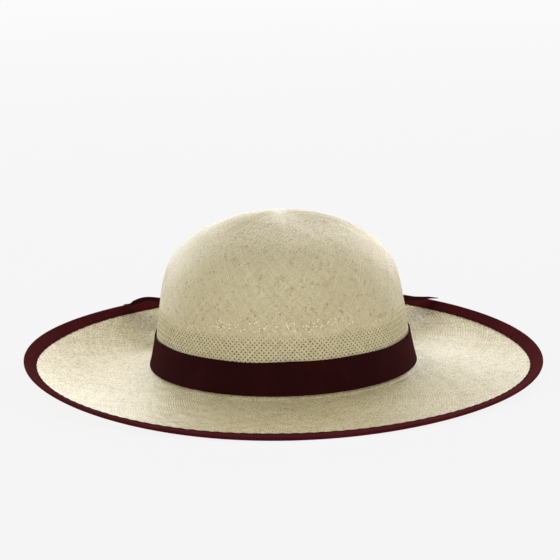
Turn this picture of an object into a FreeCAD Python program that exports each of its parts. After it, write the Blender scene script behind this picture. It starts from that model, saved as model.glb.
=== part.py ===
import FreeCAD, Part
import math
import os

import Sketcher
from FreeCAD import Placement, Rotation, Vector

# Wide-brimmed straw sun hat with a ribbon band, a ribbon bow at the back and a ribbon-bound edge.
# +Z is up, +Y points to the back of the head and +X to the wearer's left.
# The origin is on the surface that the hat lies on, under the middle of the head opening.
# The head line is the oval where the crown meets the brim. Every piece is drawn with the head
# line at height 0 and its Placement then lifts it to its real height.

SIZES = [
    # alias, value, what it is (lengths in mm, angles in degrees, the rest plain ratios)
    ("head_line_height", 7.77, "height of the head line over the surface the hat lies on"),
    ("head_half_width", 84.9, "half width of the crown's outside, wall line carried to the head line"),
    ("head_oval", 1.212, "crown length over crown width"),
    ("straw_thick", 1.0, "thickness of the woven straw"),
    ("crown_height", 99.9, "top of the crown over the head line"),
    ("wall_lean", 0.125, "how much the wall leans in, per mm of height"),
    ("dome_start", 22.0, "height where the straight wall turns into the dome"),
    ("dome_side_power", 4.9, "how late the dome's side turns in"),
    ("dome_top_power", 1.31, "how fast the dome falls away from its top"),
    ("dome_tip_soft", 0.15, "share of the dome that is rounded off at its tip"),
    ("turn_radius", 5.5, "outside radius of the bend from wall to brim"),
    ("turn_rise", 3.7, "height of that bend's centre over the head line"),
    ("brim_half_width", 168.0, "half width of the straw brim"),
    ("brim_half_length", 186.9, "half length of the straw brim"),
    ("rim_mean", 3.14, "mean height of the rim over the head line"),
    ("rim_back_lift", 8.0, "rise of the rim at the back and fall at the front"),
    ("rim_side_roll", -2.99, "rise of the rim on the wearer's left"),
    ("rim_saddle", 0.66, "rise of both sides over front and back"),
    ("rim_wave_back", -0.70, "three-fold wave of the rim, counted from the back"),
    ("rim_wave_side", -0.76, "three-fold wave of the rim, counted from the left"),
    ("brim_dip", 7.0, "mean downward slope of the brim beside the crown"),
    ("brim_dip_roll", -4.0, "change of that slope on the wearer's left"),
    ("flare_mean", 24.6, "mean upward slope of the brim at its rim"),
    ("flare_back", 17.6, "change of that slope at the back"),
    ("flare_sides", 11.7, "change of that slope at the sides"),
    ("flare_roll", -0.65, "change of that slope on the wearer's left"),
    ("curl_mean", 0.2, "share of that slope which comes only close to the rim"),
    ("curl_roll", 0.2, "change of that share on the wearer's left"),
    ("ribbon_thick", 0.4, "thickness of the grosgrain ribbon"),
    ("play", 0.1, "gap between layers that lie on each other"),
    ("band_width", 22.0, "width of the hat band"),
    ("band_low_half", 87.6, "half width of the band's outside at its lower edge"),
    ("band_high_half", 83.4, "half width of the band's outside at its upper edge"),
    ("band_extra_length", 17.6, "band half length over its half width"),
    ("hem_cover", 7.85, "how far the edge binding reaches in over the straw"),
    ("fold_room", 0.05, "room in the binding's fold beside the sleeve"),
    ("wire_dia", 0.7, "diameter of the spring wire in the binding"),
    ("wire_gap_angle", 1.0, "half of the opening between the wire's two ends"),
    ("sleeve_dia", 1.1, "outside diameter of the sleeve that joins the wire's ends"),
    ("sleeve_bore", 0.8, "bore of that sleeve"),
    ("sleeve_length", 8.0, "length of that sleeve"),
    ("sweat_width", 36.5, "width of the leather sweatband"),
    ("sweat_thick", 1.0, "thickness of the sweatband"),
    ("sweat_low_half", 83.3, "half width of the sweatband's outside at its lower edge"),
    ("sweat_room", 0.3, "how much the sweatband leans in more than the wall, over its width"),
    ("sweat_base", 0.8, "height of the sweatband's lower edge"),
    ("sweat_seam", 1.2, "open seam of the sweatband at the back"),
    ("reed_dia", 1.6, "diameter of the reed under the sweatband"),
    ("reed_half_width", 82.7, "half width of the reed's oval"),
    ("reed_height", -0.8, "height of the reed's centre"),
    ("tape_dia", 2.6, "outside diameter of the tape round the reed"),
    ("tape_bore", 1.8, "inside diameter of that tape"),
    ("bow_ribbon_width", 21.0, "width of the bow's ribbon"),
    ("loop_length", 52.0, "length of each bow loop"),
    ("loop_depth", 7.0, "depth of each bow loop"),
    ("loop_yaw", 6.0, "how far each loop leans back towards the crown"),
    ("loop_root", 1.0, "gap from the bow's middle to each loop"),
    ("loop_stand_off", 1.4, "gap from the band's middle surface to each loop"),
    ("knot_width", 15.0, "width of the ribbon wrapped round the bow's middle"),
    ("knot_depth", 10.2, "depth of that wrap"),
    ("knot_height", 23.0, "height of that wrap"),
    ("knot_corner", 0.8, "radius of the wrap's outer corners"),
    ("tail_width", 20.0, "width of each bow tail"),
    ("tail_reach_left", 111.0, "sideways reach of the left bow tail"),
    ("tail_back_left", 130.0, "how far back the left tail's tip lies"),
    ("tail_rise_left", 12.45, "height of the left tail's tip over the head line"),
    ("tail_arch_left", 0.0, "how far the left tail arches up before its tip"),
    ("tail_reach_right", 99.0, "sideways reach of the right bow tail"),
    ("tail_back_right", 136.0, "how far back the right tail's tip lies"),
    ("tail_rise_right", 15.1, "height of the right tail's tip over the head line"),
    ("tail_arch_right", 3.9, "how far the right tail arches up before its tip"),
    ("tail_arch_place", 0.85, "where along a tail its arch is highest"),
    ("tail_cut", 30.0, "angle of the slanting cut at each tail's tip"),
    ("tail_root", 1.0, "gap from the bow's middle to each tail"),
    ("tail_inset", 0.9, "how deep under the knot's outside each tail starts"),
    ("tail_swing", 79.0, "how far each tail turns over from upright, towards lying flat"),
    ("label_length", 18.0, "length of the folded size label"),
    ("label_height", 9.0, "height of the size label"),
    ("label_thick", 0.6, "thickness of the size label"),
    ("label_angle", 78.0, "place of the size label round the head, 90 at the back"),
    ("label_rise", 20.0, "height of the size label's middle"),
    ("inner_bow_length", 18.0, "length of the small bow on the sweatband's seam"),
    ("inner_bow_height", 7.0, "height of that small bow"),
    ("inner_bow_thick", 1.4, "thickness of that small bow"),
    ("inner_bow_waist", 0.4, "height of that small bow's waist over the height of its ends"),
    ("inner_bow_rise", 6.0, "height of that small bow's middle"),
    ("lining_gap", 0.75, "gap from the sweatband to the label and the small bow"),
    ("tack_dia", 0.5, "diameter of the thread of the band's tacks"),
    ("tack_length", 2.4, "length of each tack"),
    ("tack_inset", 1.2, "how far the tacks' middles lie under the band's upper edge"),
    ("tack_gap", 0.05, "gap from the band to each tack"),
]

POLES_ROUND = 72                # control points of a skin round the hat
WIRE_FACES = 6                  # faces round the wire
SEAM_MARGIN = 3                 # how far the seam's cut reaches past the sweatband's edges
CAP_STATION = 0.02              # where the smallest ring round the crown's top lies
TAIL_SHARES = (0.0, 0.2, 0.4, 0.6, 0.7, 0.78, 0.85, 0.92, 1.0)
TACK_ANGLES = (20, 65, 115, 160, 200, 245, 295, 340)

doc = FreeCAD.newDocument("straw_sun_hat")


# ---------------------------------------------------------------- the sheet of sizes

def make_sheet():
    sheet = doc.addObject("Spreadsheet::Sheet", "sizes")
    for row, (alias, value, meaning) in enumerate(SIZES, start=1):
        sheet.set(f"A{row}", meaning)
        sheet.set(f"B{row}", str(value))
        sheet.setAlias(f"B{row}", alias)
    doc.recompute()
    return sheet


sheet = make_sheet()


def size(alias):
    """The value of one cell of the sheet."""
    return float(sheet.get(alias))


def degrees(alias):
    """An angle of the sheet, in radians."""
    return math.radians(size(alias))


# ---------------------------------------------------------------- the straw's outer surface

HEAD = size("head_half_width")
OVAL = size("head_oval")
LEAN = size("wall_lean")
STRAW = size("straw_thick")
TURN_RADIUS = size("turn_radius")
LEAN_ANGLE = math.atan(LEAN)
TURN_CENTRE_RISE = size("turn_rise")
TURN_CENTRE_OUT = HEAD - LEAN * TURN_CENTRE_RISE + TURN_RADIUS / math.cos(LEAN_ANGLE)
WALL_FOOT = TURN_CENTRE_RISE - TURN_RADIUS * math.sin(LEAN_ANGLE)
DOME, WALL, TURN, BRIM, RIM = range(5)      # stations along the outline, from the top outwards


def oval_point(half_width, half_length, height, theta):
    return Vector(half_width * math.cos(theta), half_length * math.sin(theta), height)


def wall_half_width(height):
    return HEAD - LEAN * height


def dome_point(theta, share):
    """The dome, from its top (share 0) to the straight wall (share 1)."""
    swing = math.pi / 2 * max(0.0, 1 - share) ** 2.5
    lift = math.sin(swing) ** (2 / size("dome_side_power"))
    height = size("dome_start") + (size("crown_height") - size("dome_start")) * lift
    power = size("dome_top_power")
    soft = size("dome_tip_soft")
    tip = soft ** power
    full = (1 + soft ** 2) ** (power / 2) - tip
    reach = (math.cos(swing) ** 2 * full + tip) ** (2 / power) - soft ** 2
    half_width = wall_half_width(height) * math.sqrt(max(0.0, reach))
    return oval_point(half_width, half_width * OVAL, height, theta)


def wall_point(theta, share):
    """The straight wall, from the dome (share 0) to the bend at its foot (share 1)."""
    height = size("dome_start") + (WALL_FOOT - size("dome_start")) * share
    half_width = wall_half_width(height)
    return oval_point(half_width, half_width * OVAL, height, theta)


def turn_point(theta, share):
    """The rounded bend from the wall (share 0) to the brim (share 1)."""
    dip = degrees("brim_dip") + degrees("brim_dip_roll") * math.cos(theta)
    swing = LEAN_ANGLE + (math.pi / 2 - dip - LEAN_ANGLE) * share
    half_width = TURN_CENTRE_OUT - TURN_RADIUS * math.cos(swing)
    half_length = half_width + (OVAL - 1) * wall_half_width(WALL_FOOT)
    return oval_point(half_width, half_length, TURN_CENTRE_RISE - TURN_RADIUS * math.sin(swing), theta)


def rim_height(theta):
    return (size("rim_mean") + size("rim_back_lift") * math.sin(theta)
            + size("rim_side_roll") * math.cos(theta) + size("rim_saddle") * math.cos(2 * theta)
            + size("rim_wave_back") * math.sin(3 * theta) + size("rim_wave_side") * math.cos(3 * theta))


def flare(theta):
    """Upward slope of the brim at its rim, in radians."""
    return (degrees("flare_mean") + degrees("flare_back") * math.sin(theta)
            + degrees("flare_sides") * math.cos(2 * theta) + degrees("flare_roll") * math.cos(theta))


def brim_run(theta):
    """Start of the brim, its rim below, and the level distance between them."""
    start = turn_point(theta, 1)
    end = oval_point(size("brim_half_width"), size("brim_half_length"), rim_height(theta), theta)
    return start, end, math.hypot(end.x - start.x, end.y - start.y)


def brim_point(theta, share):
    """The brim, from the bend (share 0) to the rim (share 1): a curve set by its two end slopes."""
    start, end, run = brim_run(theta)
    dip = degrees("brim_dip") + degrees("brim_dip_roll") * math.cos(theta)
    start_rise = -math.tan(dip) * run
    end_rise = math.tan(flare(theta)) * run
    curl = size("curl_mean") + size("curl_roll") * math.cos(theta)
    lifting = (1 - curl) * share ** 2 + curl * share ** 5
    height = ((1 + 2 * share) * (1 - share) ** 2 * start.z + share * (1 - share) ** 2 * start_rise
              + share ** 2 * (3 - 2 * share) * end.z + (share - 1) * lifting * end_rise)
    across = start + (end - start) * share
    return Vector(across.x, across.y, height)


def outer_point(theta, station):
    """A point of the straw's outer surface: station DOME is the top, RIM is the edge."""
    part = min(int(station), BRIM)
    outline = (dome_point, wall_point, turn_point, brim_point)[part]
    return outline(theta, station - part)


def surface_frame(theta, station):
    """The point, the direction outwards along the straw and the normal out of it."""
    step = 1e-4
    along = outer_point(theta, station + step) - outer_point(theta, station - step)
    round_hat = outer_point(theta + step, station) - outer_point(theta - step, station)
    along.normalize()
    normal = along.cross(round_hat)
    normal.normalize()
    return outer_point(theta, station), along, normal


def straw_point(theta, station, depth):
    """A point at a depth under the straw's outer surface."""
    point, _, normal = surface_frame(theta, station)
    return point - normal * depth


def edge_point(theta, outward, depth):
    """A point near the rim: outward along the straw from its edge, at a depth under its outside."""
    if outward <= 0:
        run = brim_run(theta)[2]
        return straw_point(theta, RIM + outward * math.cos(flare(theta)) / run, depth)
    point, along, normal = surface_frame(theta, RIM)
    return point + along * outward - normal * depth


# ---------------------------------------------------------------- skins: closed smooth surfaces

def angles_round():
    return [2 * math.pi * k / POLES_ROUND for k in range(POLES_ROUND)]


def ring_row(point_at):
    """One row of control points round the hat. A cubic spline cuts inside them, so they stand out."""
    swell = 3 / (2 + math.cos(2 * math.pi / POLES_ROUND))
    points = [point_at(theta) for theta in angles_round()]
    return [Vector(point.x * swell, point.y * swell, point.z) for point in points]


def skin_face(rows, rows_closed, points_closed):
    """A smooth face through rows of control points; either way can close on itself."""
    def knots(count, closed):
        if closed:
            return list(range(count + 1)), [1] * (count + 1)
        return list(range(count - 2)), [4] + [1] * (count - 4) + [4]

    row_knots, row_mults = knots(len(rows), rows_closed)
    point_knots, point_mults = knots(len(rows[0]), points_closed)
    surface = Part.BSplineSurface()
    surface.buildFromPolesMultsKnots(rows, row_mults, point_mults, row_knots, point_knots,
                                     rows_closed, points_closed, 3, 3)
    return surface.toShape()


def solid_of(faces):
    shell = Part.Shell(faces)
    if len(faces) > 1:
        shell.sewShape()
    solid = Part.Solid(shell)
    if solid.Volume < 0:
        solid.reverse()
    return solid


def shaped_feature(label, shape):
    """A sub-part whose shape is set here; its Placement is set after its Shape."""
    feature = doc.addObject("Part::Feature", label)
    feature.Label = label
    feature.Shape = shape
    feature.Placement = Placement(Vector(0, 0, size("head_line_height")), Rotation())
    return feature


def cap_row(height):
    """The smallest ring round a top point, level with it so that the top is smooth."""
    def point_at(theta):
        point = outer_point(theta, CAP_STATION)
        return Vector(point.x, point.y, height)

    return ring_row(point_at)


def make_straw_body():
    """Crown and brim in one piece: out over the top side, round the edge and back underneath."""
    stations = [DOME + (k / 20) for k in range(1, 20)]
    stations += [WALL + k / 5 for k in range(5)]
    stations += [TURN + k / 7 for k in range(7)]
    stations += [BRIM + k / 16 for k in range(16)]
    stations += [RIM - 0.03, RIM - 0.01]
    top_height = size("crown_height")
    ceiling_height = top_height - STRAW
    rows = [[Vector(0, 0, top_height)] * POLES_ROUND, cap_row(top_height)]
    rows += [ring_row(lambda theta, at=at: outer_point(theta, at)) for at in stations]
    for outward, depth in ((0, 0.1), (0.1, STRAW / 2), (0, STRAW - 0.1)):
        rows.append(ring_row(lambda theta, o=outward, d=depth: edge_point(theta, o, d)))
    rows += [ring_row(lambda theta, at=at: straw_point(theta, at, STRAW)) for at in reversed(stations)]
    rows += [cap_row(ceiling_height), [Vector(0, 0, ceiling_height)] * POLES_ROUND]
    return shaped_feature("straw_body", solid_of([skin_face(rows, False, True)]))


def fold_centre():
    """How far outside the straw's edge the middle of the binding's fold lies."""
    return size("play") + size("fold_room") + STRAW / 2


def make_edge_binding():
    """Ribbon folded round the straw's edge, with room for the wire in its fold."""
    inner = STRAW / 2 + size("play")
    outer = inner + size("ribbon_thick")
    cover = size("hem_cover")
    fold_out = fold_centre()
    inboard = [-cover, -cover + 0.15, -cover + 0.6, -cover + 1.8, -cover + 3.4, -cover + 5.2, -1.8, -0.5]
    swings = [math.radians(90 - 30 * k) for k in range(7)]
    middle = STRAW / 2
    section = [(at, middle - outer) for at in inboard]
    section += [(fold_out + outer * math.cos(a), middle - outer * math.sin(a)) for a in swings]
    section += [(at, middle + outer) for at in reversed(inboard)]
    section += [(at, middle + inner) for at in inboard]
    section += [(fold_out + inner * math.cos(a), middle - inner * math.sin(a)) for a in reversed(swings)]
    section += [(at, middle - inner) for at in reversed(inboard)]
    rows = [ring_row(lambda theta, o=outward, d=depth: edge_point(theta, o, d))
            for outward, depth in section]
    return shaped_feature("edge_binding", solid_of([skin_face(rows, True, True)]))


def wire_centre(theta):
    return edge_point(theta, fold_centre(), STRAW / 2)


def make_brim_wire():
    """Spring wire in the binding's fold, an open ring whose ends meet in the sleeve at the back."""
    gap = degrees("wire_gap_angle")
    start = math.pi / 2 + gap
    count = 2 * POLES_ROUND
    step = (2 * math.pi - 2 * gap) / count
    sections = [wire_section(start + step * k) for k in range(count + 1)]
    walls = [skin_face([section[face] for section in sections], False, False) for face in range(WIRE_FACES)]
    edges = [edge for wall in walls for edge in wall.Edges]
    short_edges = [edge for edge in edges if edge.Length < size("wire_dia") * math.pi]
    caps = []
    for on_left in (True, False):
        rim = [edge for edge in short_edges if (edge.CenterOfMass.x > 0) == on_left]
        caps.append(Part.Face(Part.Wire(Part.__sortEdges__(rim))))
    return shaped_feature("brim_wire", solid_of(walls + caps))


def wire_section(theta):
    """Control points of the wire's round section, four for each of the arcs that make it up."""
    centre = wire_centre(theta)
    ahead = wire_centre(theta + 1e-3) - wire_centre(theta - 1e-3)
    ahead.normalize()
    side = ahead.cross(Vector(0, 0, 1))
    side.normalize()
    upright = side.cross(ahead)
    radius = size("wire_dia") / 2
    arc = 2 * math.pi / WIRE_FACES
    handle = radius * 4 / 3 * math.tan(arc / 4)

    def at(angle, onwards):
        across = radius * math.cos(angle) - onwards * math.sin(angle)
        up = radius * math.sin(angle) + onwards * math.cos(angle)
        return centre + side * across + upright * up

    corners = [arc * k for k in range(WIRE_FACES + 1)]
    return [[at(a, 0), at(a, handle), at(b, -handle), at(b, 0)] for a, b in zip(corners, corners[1:])]


# ---------------------------------------------------------------- sketches and bodies

def make_body(label, placement=None):
    body = doc.addObject("PartDesign::Body", label)
    body.Label = label
    if placement is not None:
        body.Placement = placement
    else:
        body.setExpression("Placement.Base.z", "sizes.head_line_height")
    return body


def base_plane(body, role):
    return next(item for item in body.Origin.OriginFeatures if item.Role == role)


def new_sketch(body, name, plane="XY_Plane", height=None, offset=None):
    sketch = body.newObject("Sketcher::SketchObject", name)
    sketch.AttachmentSupport = [(base_plane(body, plane), "")]
    sketch.MapMode = "FlatFace"
    if offset is not None:
        sketch.AttachmentOffset = offset
    if height is not None:
        sketch.setExpression(".AttachmentOffset.Base.z", height)
    return sketch


def bind(sketch, constraint, name, expression):
    """Adds a dimension to a sketch and binds it to the sheet."""
    sketch.renameConstraint(sketch.addConstraint(constraint), name)
    sketch.setExpression(f"Constraints.{name}", expression)


def oval_sketch(body, name, half_width, half_length, height):
    """An oval, wider along Y, about the body's axis."""
    sketch = new_sketch(body, name, height=height)
    sketch.addGeometry(Part.Ellipse(Vector(0, 10, 0), Vector(8, 0, 0), Vector(0, 0, 0)), False)
    sketch.exposeInternalGeometry(0)
    sketch.addConstraint(Sketcher.Constraint("Coincident", 0, 3, -1, 1))
    sketch.addConstraint(Sketcher.Constraint("PointOnObject", 1, 1, -2))
    bind(sketch, Sketcher.Constraint("Distance", 1, 20.0), "long_axis", f"2 * ({half_length})")
    bind(sketch, Sketcher.Constraint("Distance", 2, 16.0), "short_axis", f"2 * ({half_width})")
    return sketch


def oval_loft(body, kind, name, low, high):
    """A loft between two ovals, each given as (half width, half length, height)."""
    low_sketch = oval_sketch(body, f"{name}_low", *low)
    high_sketch = oval_sketch(body, f"{name}_high", *high)
    loft = body.newObject(f"PartDesign::{kind}", name)
    loft.Profile = low_sketch
    loft.Sections = [high_sketch]
    doc.recompute()
    return loft


def rectangle(sketch, low_x, low_y, width, height):
    """A rectangle whose corner and sides are bound to the sheet."""
    first = sketch.GeometryCount
    corners = [Vector(0, 0, 0), Vector(10, 0, 0), Vector(10, 5, 0), Vector(0, 5, 0)]
    for start, end in zip(corners, corners[1:] + corners[:1]):
        sketch.addGeometry(Part.LineSegment(start, end), False)
    for side in range(4):
        sketch.addConstraint(Sketcher.Constraint("Coincident", first + side, 2, first + (side + 1) % 4, 1))
    for side, kind in enumerate(("Horizontal", "Vertical", "Horizontal", "Vertical")):
        sketch.addConstraint(Sketcher.Constraint(kind, first + side))
    bind(sketch, Sketcher.Constraint("DistanceX", first, 1, first, 2, 10.0), f"width{first}", width)
    bind(sketch, Sketcher.Constraint("DistanceY", first + 1, 1, first + 1, 2, 5.0), f"height{first}",
         height)
    bind(sketch, Sketcher.Constraint("DistanceX", -1, 1, first, 1, 0.0), f"left{first}", low_x)
    bind(sketch, Sketcher.Constraint("DistanceY", -1, 1, first, 1, 0.0), f"low{first}", low_y)


def slot(sketch, start, length, depth, centre):
    """A long slot with round ends, along X from start, its middle line at Y = centre."""
    first = sketch.GeometryCount
    sketch.addGeometry(Part.LineSegment(Vector(5, 2, 0), Vector(30, 2, 0)), False)
    sketch.addGeometry(Part.ArcOfCircle(Part.Circle(Vector(30, 4, 0), Vector(0, 0, 1), 2),
                                        -math.pi / 2, math.pi / 2), False)
    sketch.addGeometry(Part.LineSegment(Vector(30, 6, 0), Vector(5, 6, 0)), False)
    sketch.addGeometry(Part.ArcOfCircle(Part.Circle(Vector(5, 4, 0), Vector(0, 0, 1), 2),
                                        math.pi / 2, 3 * math.pi / 2), False)
    for side in range(4):
        sketch.addConstraint(Sketcher.Constraint("Tangent", first + side, 2, first + (side + 1) % 4, 1))
    sketch.addConstraint(Sketcher.Constraint("Horizontal", first))
    sketch.addConstraint(Sketcher.Constraint("Equal", first + 1, first + 3))
    radius = f"({depth}) / 2"
    bind(sketch, Sketcher.Constraint("Radius", first + 1, 2.0), f"radius{first}", radius)
    bind(sketch, Sketcher.Constraint("DistanceX", -1, 1, first + 3, 3, 5.0), f"start{first}",
         f"{start} + {radius}")
    bind(sketch, Sketcher.Constraint("DistanceX", first + 3, 3, first + 1, 3, 25.0), f"length{first}",
         f"{length} - ({depth})")
    bind(sketch, Sketcher.Constraint("DistanceY", -1, 1, first + 3, 3, 4.0), f"centre{first}", centre)


def pad(body, sketch, length, both_ways=False):
    feature = body.newObject("PartDesign::Pad", f"{sketch.Name}_pad")
    feature.Profile = sketch
    feature.setExpression("Length", length)
    if both_ways:
        feature.Midplane = True
    doc.recompute()
    return feature


# ---------------------------------------------------------------- band and sweatband

def make_hat_band():
    """Ribbon laid round the foot of the crown: a slightly conical oval ring."""
    body = make_body("hat_band")
    extra = "sizes.band_extra_length"
    low = "sizes.band_low_half"
    high = "sizes.band_high_half"
    thick = "sizes.ribbon_thick"
    oval_loft(body, "AdditiveLoft", "band_outside", (low, f"{low} + {extra}", "0"),
              (high, f"{high} + {extra}", "sizes.band_width"))
    oval_loft(body, "SubtractiveLoft", "band_inside",
              (f"{low} - {thick}", f"{low} + {extra} - {thick}", "0"),
              (f"{high} - {thick}", f"{high} + {extra} - {thick}", "sizes.band_width"))
    return body


def make_sweatband():
    """Leather strip inside the foot of the crown, open at its seam at the back."""
    body = make_body("sweatband")
    low = "sizes.sweat_low_half"
    high = "(sizes.sweat_low_half - sizes.wall_lean * sizes.sweat_width - sizes.sweat_room)"
    base = "sizes.sweat_base"
    top = "sizes.sweat_base + sizes.sweat_width"
    thick = "sizes.sweat_thick"
    oval = "sizes.head_oval"
    oval_loft(body, "AdditiveLoft", "sweat_outside", (low, f"{low} * {oval}", base),
              (high, f"{high} * {oval}", top))
    whole = oval_loft(body, "SubtractiveLoft", "sweat_inside",
                      (f"{low} - {thick}", f"{low} * {oval} - {thick}", base),
                      (f"{high} - {thick}", f"{high} * {oval} - {thick}", top))
    seam = new_sketch(body, "seam", plane="XZ_Plane")
    rectangle(seam, "-sizes.sweat_seam / 2", f"sizes.sweat_base - {SEAM_MARGIN}",
              "sizes.sweat_seam", f"sizes.sweat_width + {2 * SEAM_MARGIN}")
    pocket = body.newObject("PartDesign::Pocket", "seam_cut")
    pocket.Profile = seam
    pocket.Type = "ThroughAll"
    doc.recompute()
    cut = whole.Shape.Volume - body.Shape.Volume
    if abs(cut - size("sweat_seam") * size("sweat_width") * size("sweat_thick")) > 5:
        raise RuntimeError("the sweatband's seam is not cut")
    return body


def oval_pipe(body, kind, name, diameter):
    """A round cord along the reed's oval."""
    route = oval_sketch(body, f"{name}_route", "sizes.reed_half_width",
                        "sizes.reed_half_width * sizes.head_oval", "sizes.reed_height")
    section = new_sketch(body, f"{name}_section", plane="XZ_Plane")
    section.addGeometry(Part.Circle(Vector(80, 0, 0), Vector(0, 0, 1), 1), False)
    bind(section, Sketcher.Constraint("Diameter", 0, 2.0), "diameter", diameter)
    bind(section, Sketcher.Constraint("DistanceX", -1, 1, 0, 3, 80.0), "out", "sizes.reed_half_width")
    section.addConstraint(Sketcher.Constraint("DistanceY", -1, 1, 0, 3, 0.0))
    section.renameConstraint(section.ConstraintCount - 1, "rise")
    section.setExpression("Constraints.rise", "sizes.reed_height")
    pipe = body.newObject(f"PartDesign::{kind}", name)
    pipe.Profile = section
    pipe.Spine = (route, ["Edge1"])
    doc.recompute()
    return pipe


def make_reed():
    body = make_body("reed")
    oval_pipe(body, "AdditivePipe", "reed_cord", "sizes.reed_dia")
    return body


def make_reed_tape():
    """Tape folded round the reed, sewn to the sweatband's lower edge."""
    body = make_body("reed_tape")
    oval_pipe(body, "AdditivePipe", "tape_outside", "sizes.tape_dia")
    oval_pipe(body, "SubtractivePipe", "tape_inside", "sizes.tape_bore")
    return body


# ---------------------------------------------------------------- the bow at the back

BAND_SLOPE = math.atan((size("band_low_half") - size("band_high_half")) / size("band_width"))


def bow_placement(yaw=0.0):
    """The bow's frame: X along the band, Y out of it at the back, Z up the band."""
    half_width = (size("band_low_half") + size("band_high_half")) / 2
    place = Vector(0, half_width + size("band_extra_length"),
                   size("head_line_height") + size("band_width") / 2)
    lean = Rotation(Vector(1, 0, 0), math.degrees(BAND_SLOPE))
    return Placement(place, lean.multiply(Rotation(Vector(0, 0, 1), yaw)))


def make_bow_loop(label, side):
    """Ribbon turned back on itself: a slot-shaped ring as tall as the ribbon is wide."""
    yaw = -side * size("loop_yaw")
    flip = Rotation(Vector(0, 1, 0), 0 if side > 0 else 180)
    frame = bow_placement(yaw)
    body = make_body(label, Placement(frame.Base, frame.Rotation.multiply(flip)))
    outline = new_sketch(body, f"{label}_outline")
    middle = "sizes.loop_depth / 2 + sizes.loop_stand_off"
    thick = "sizes.ribbon_thick"
    slot(outline, "sizes.loop_root", "sizes.loop_length", "sizes.loop_depth", middle)
    slot(outline, f"sizes.loop_root + {thick}", f"sizes.loop_length - 2 * {thick}",
         f"sizes.loop_depth - 2 * {thick}", middle)
    pad(body, outline, "sizes.bow_ribbon_width", both_ways=True)
    return body


def make_bow_knot():
    """Ribbon wrapped round the middle of the bow."""
    body = make_body("bow_knot", bow_placement())
    outline = new_sketch(body, "knot_outline", plane="YZ_Plane")
    rectangle(outline, "sizes.play", "-sizes.knot_height / 2", "sizes.knot_depth", "sizes.knot_height")
    rectangle(outline, "sizes.play + sizes.ribbon_thick", "-sizes.knot_height / 2 + sizes.ribbon_thick",
              "sizes.knot_depth - 2 * sizes.ribbon_thick", "sizes.knot_height - 2 * sizes.ribbon_thick")
    wrap = pad(body, outline, "sizes.knot_width", both_ways=True)
    corners = [f"Edge{k}" for k, edge in enumerate(wrap.Shape.Edges, start=1) if is_outer_corner(edge)]
    rounding = body.newObject("PartDesign::Fillet", "knot_rounding")
    rounding.Base = (wrap, corners)
    rounding.setExpression("Radius", "sizes.knot_corner")
    doc.recompute()
    return body


def is_outer_corner(edge):
    """True for the wrap's four outer edges along the band."""
    middle = edge.CenterOfMass
    long_way = abs(edge.tangentAt(edge.FirstParameter).x) > 0.99
    return long_way and abs(abs(middle.z) - size("knot_height") / 2) < 1e-3


def tail_frame(share, side):
    """Centre, width direction and run direction of a tail: upright at the knot, leaning at its tip."""
    hand = "left" if side > 0 else "right"
    root = bow_placement().multVec(Vector(side * size("tail_root"),
                                          size("knot_depth") - size("tail_inset"), 0))
    root = root - Vector(0, 0, size("head_line_height"))
    tip = Vector(side * size(f"tail_reach_{hand}"), size(f"tail_back_{hand}"), size(f"tail_rise_{hand}"))
    lateness = math.log(0.5) / math.log(size("tail_arch_place"))
    arch = size(f"tail_arch_{hand}") * math.sin(math.pi * share ** lateness) ** 2
    centre = root + (tip - root) * share + Vector(0, 0, arch)
    run = tip - root
    run.normalize()
    swing = degrees("tail_swing") * (3 * share ** 2 - 2 * share ** 3)
    outward = Vector(0, 0, 1).cross(run) * side
    outward.normalize()
    width = Vector(0, 0, 1) * math.cos(swing) - outward * math.sin(swing)
    return centre, width, run


def make_bow_tail(label, side):
    """Free end of the ribbon, from under the knot to a slanting cut over the rim."""
    body = make_body(label, Placement(Vector(0, 0, size("head_line_height")), Rotation()))
    sections = []
    for number, share in enumerate(TAIL_SHARES):
        centre, width, run = tail_frame(share, side)
        slant = math.tan(degrees("tail_cut")) if share == 1.0 else 0.0
        across = width - run * slant
        stretch = across.Length
        across.normalize()
        thin = across.cross(run)
        thin.normalize()
        turn = Rotation(across, thin, across.cross(thin), "XYZ")
        section = new_sketch(body, f"{label}_section{number}", offset=Placement(centre, turn))
        rectangle(section, f"-sizes.tail_width * {stretch} / 2", "-sizes.ribbon_thick / 2",
                  f"sizes.tail_width * {stretch}", "sizes.ribbon_thick")
        sections.append(section)
    loft = body.newObject("PartDesign::AdditiveLoft", f"{label}_ribbon")
    loft.Profile = sections[0]
    loft.Sections = sections[1:]
    doc.recompute()
    return body


# ---------------------------------------------------------------- small pieces

def make_wire_sleeve():
    """Short tube pressed over the wire's two ends at the back."""
    place = wire_centre(math.pi / 2) + Vector(0, 0, size("head_line_height"))
    body = make_body("wire_sleeve", Placement(place, Rotation()))
    outline = new_sketch(body, "sleeve_outline", plane="YZ_Plane")
    for index, cell in enumerate(("sleeve_dia", "sleeve_bore")):
        outline.addGeometry(Part.Circle(Vector(0, 0, 0), Vector(0, 0, 1), 1), False)
        outline.addConstraint(Sketcher.Constraint("Coincident", index, 3, -1, 1))
        bind(outline, Sketcher.Constraint("Diameter", index, 2.0 - index), cell, f"sizes.{cell}")
    pad(body, outline, "sizes.sleeve_length", both_ways=True)
    return body


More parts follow.
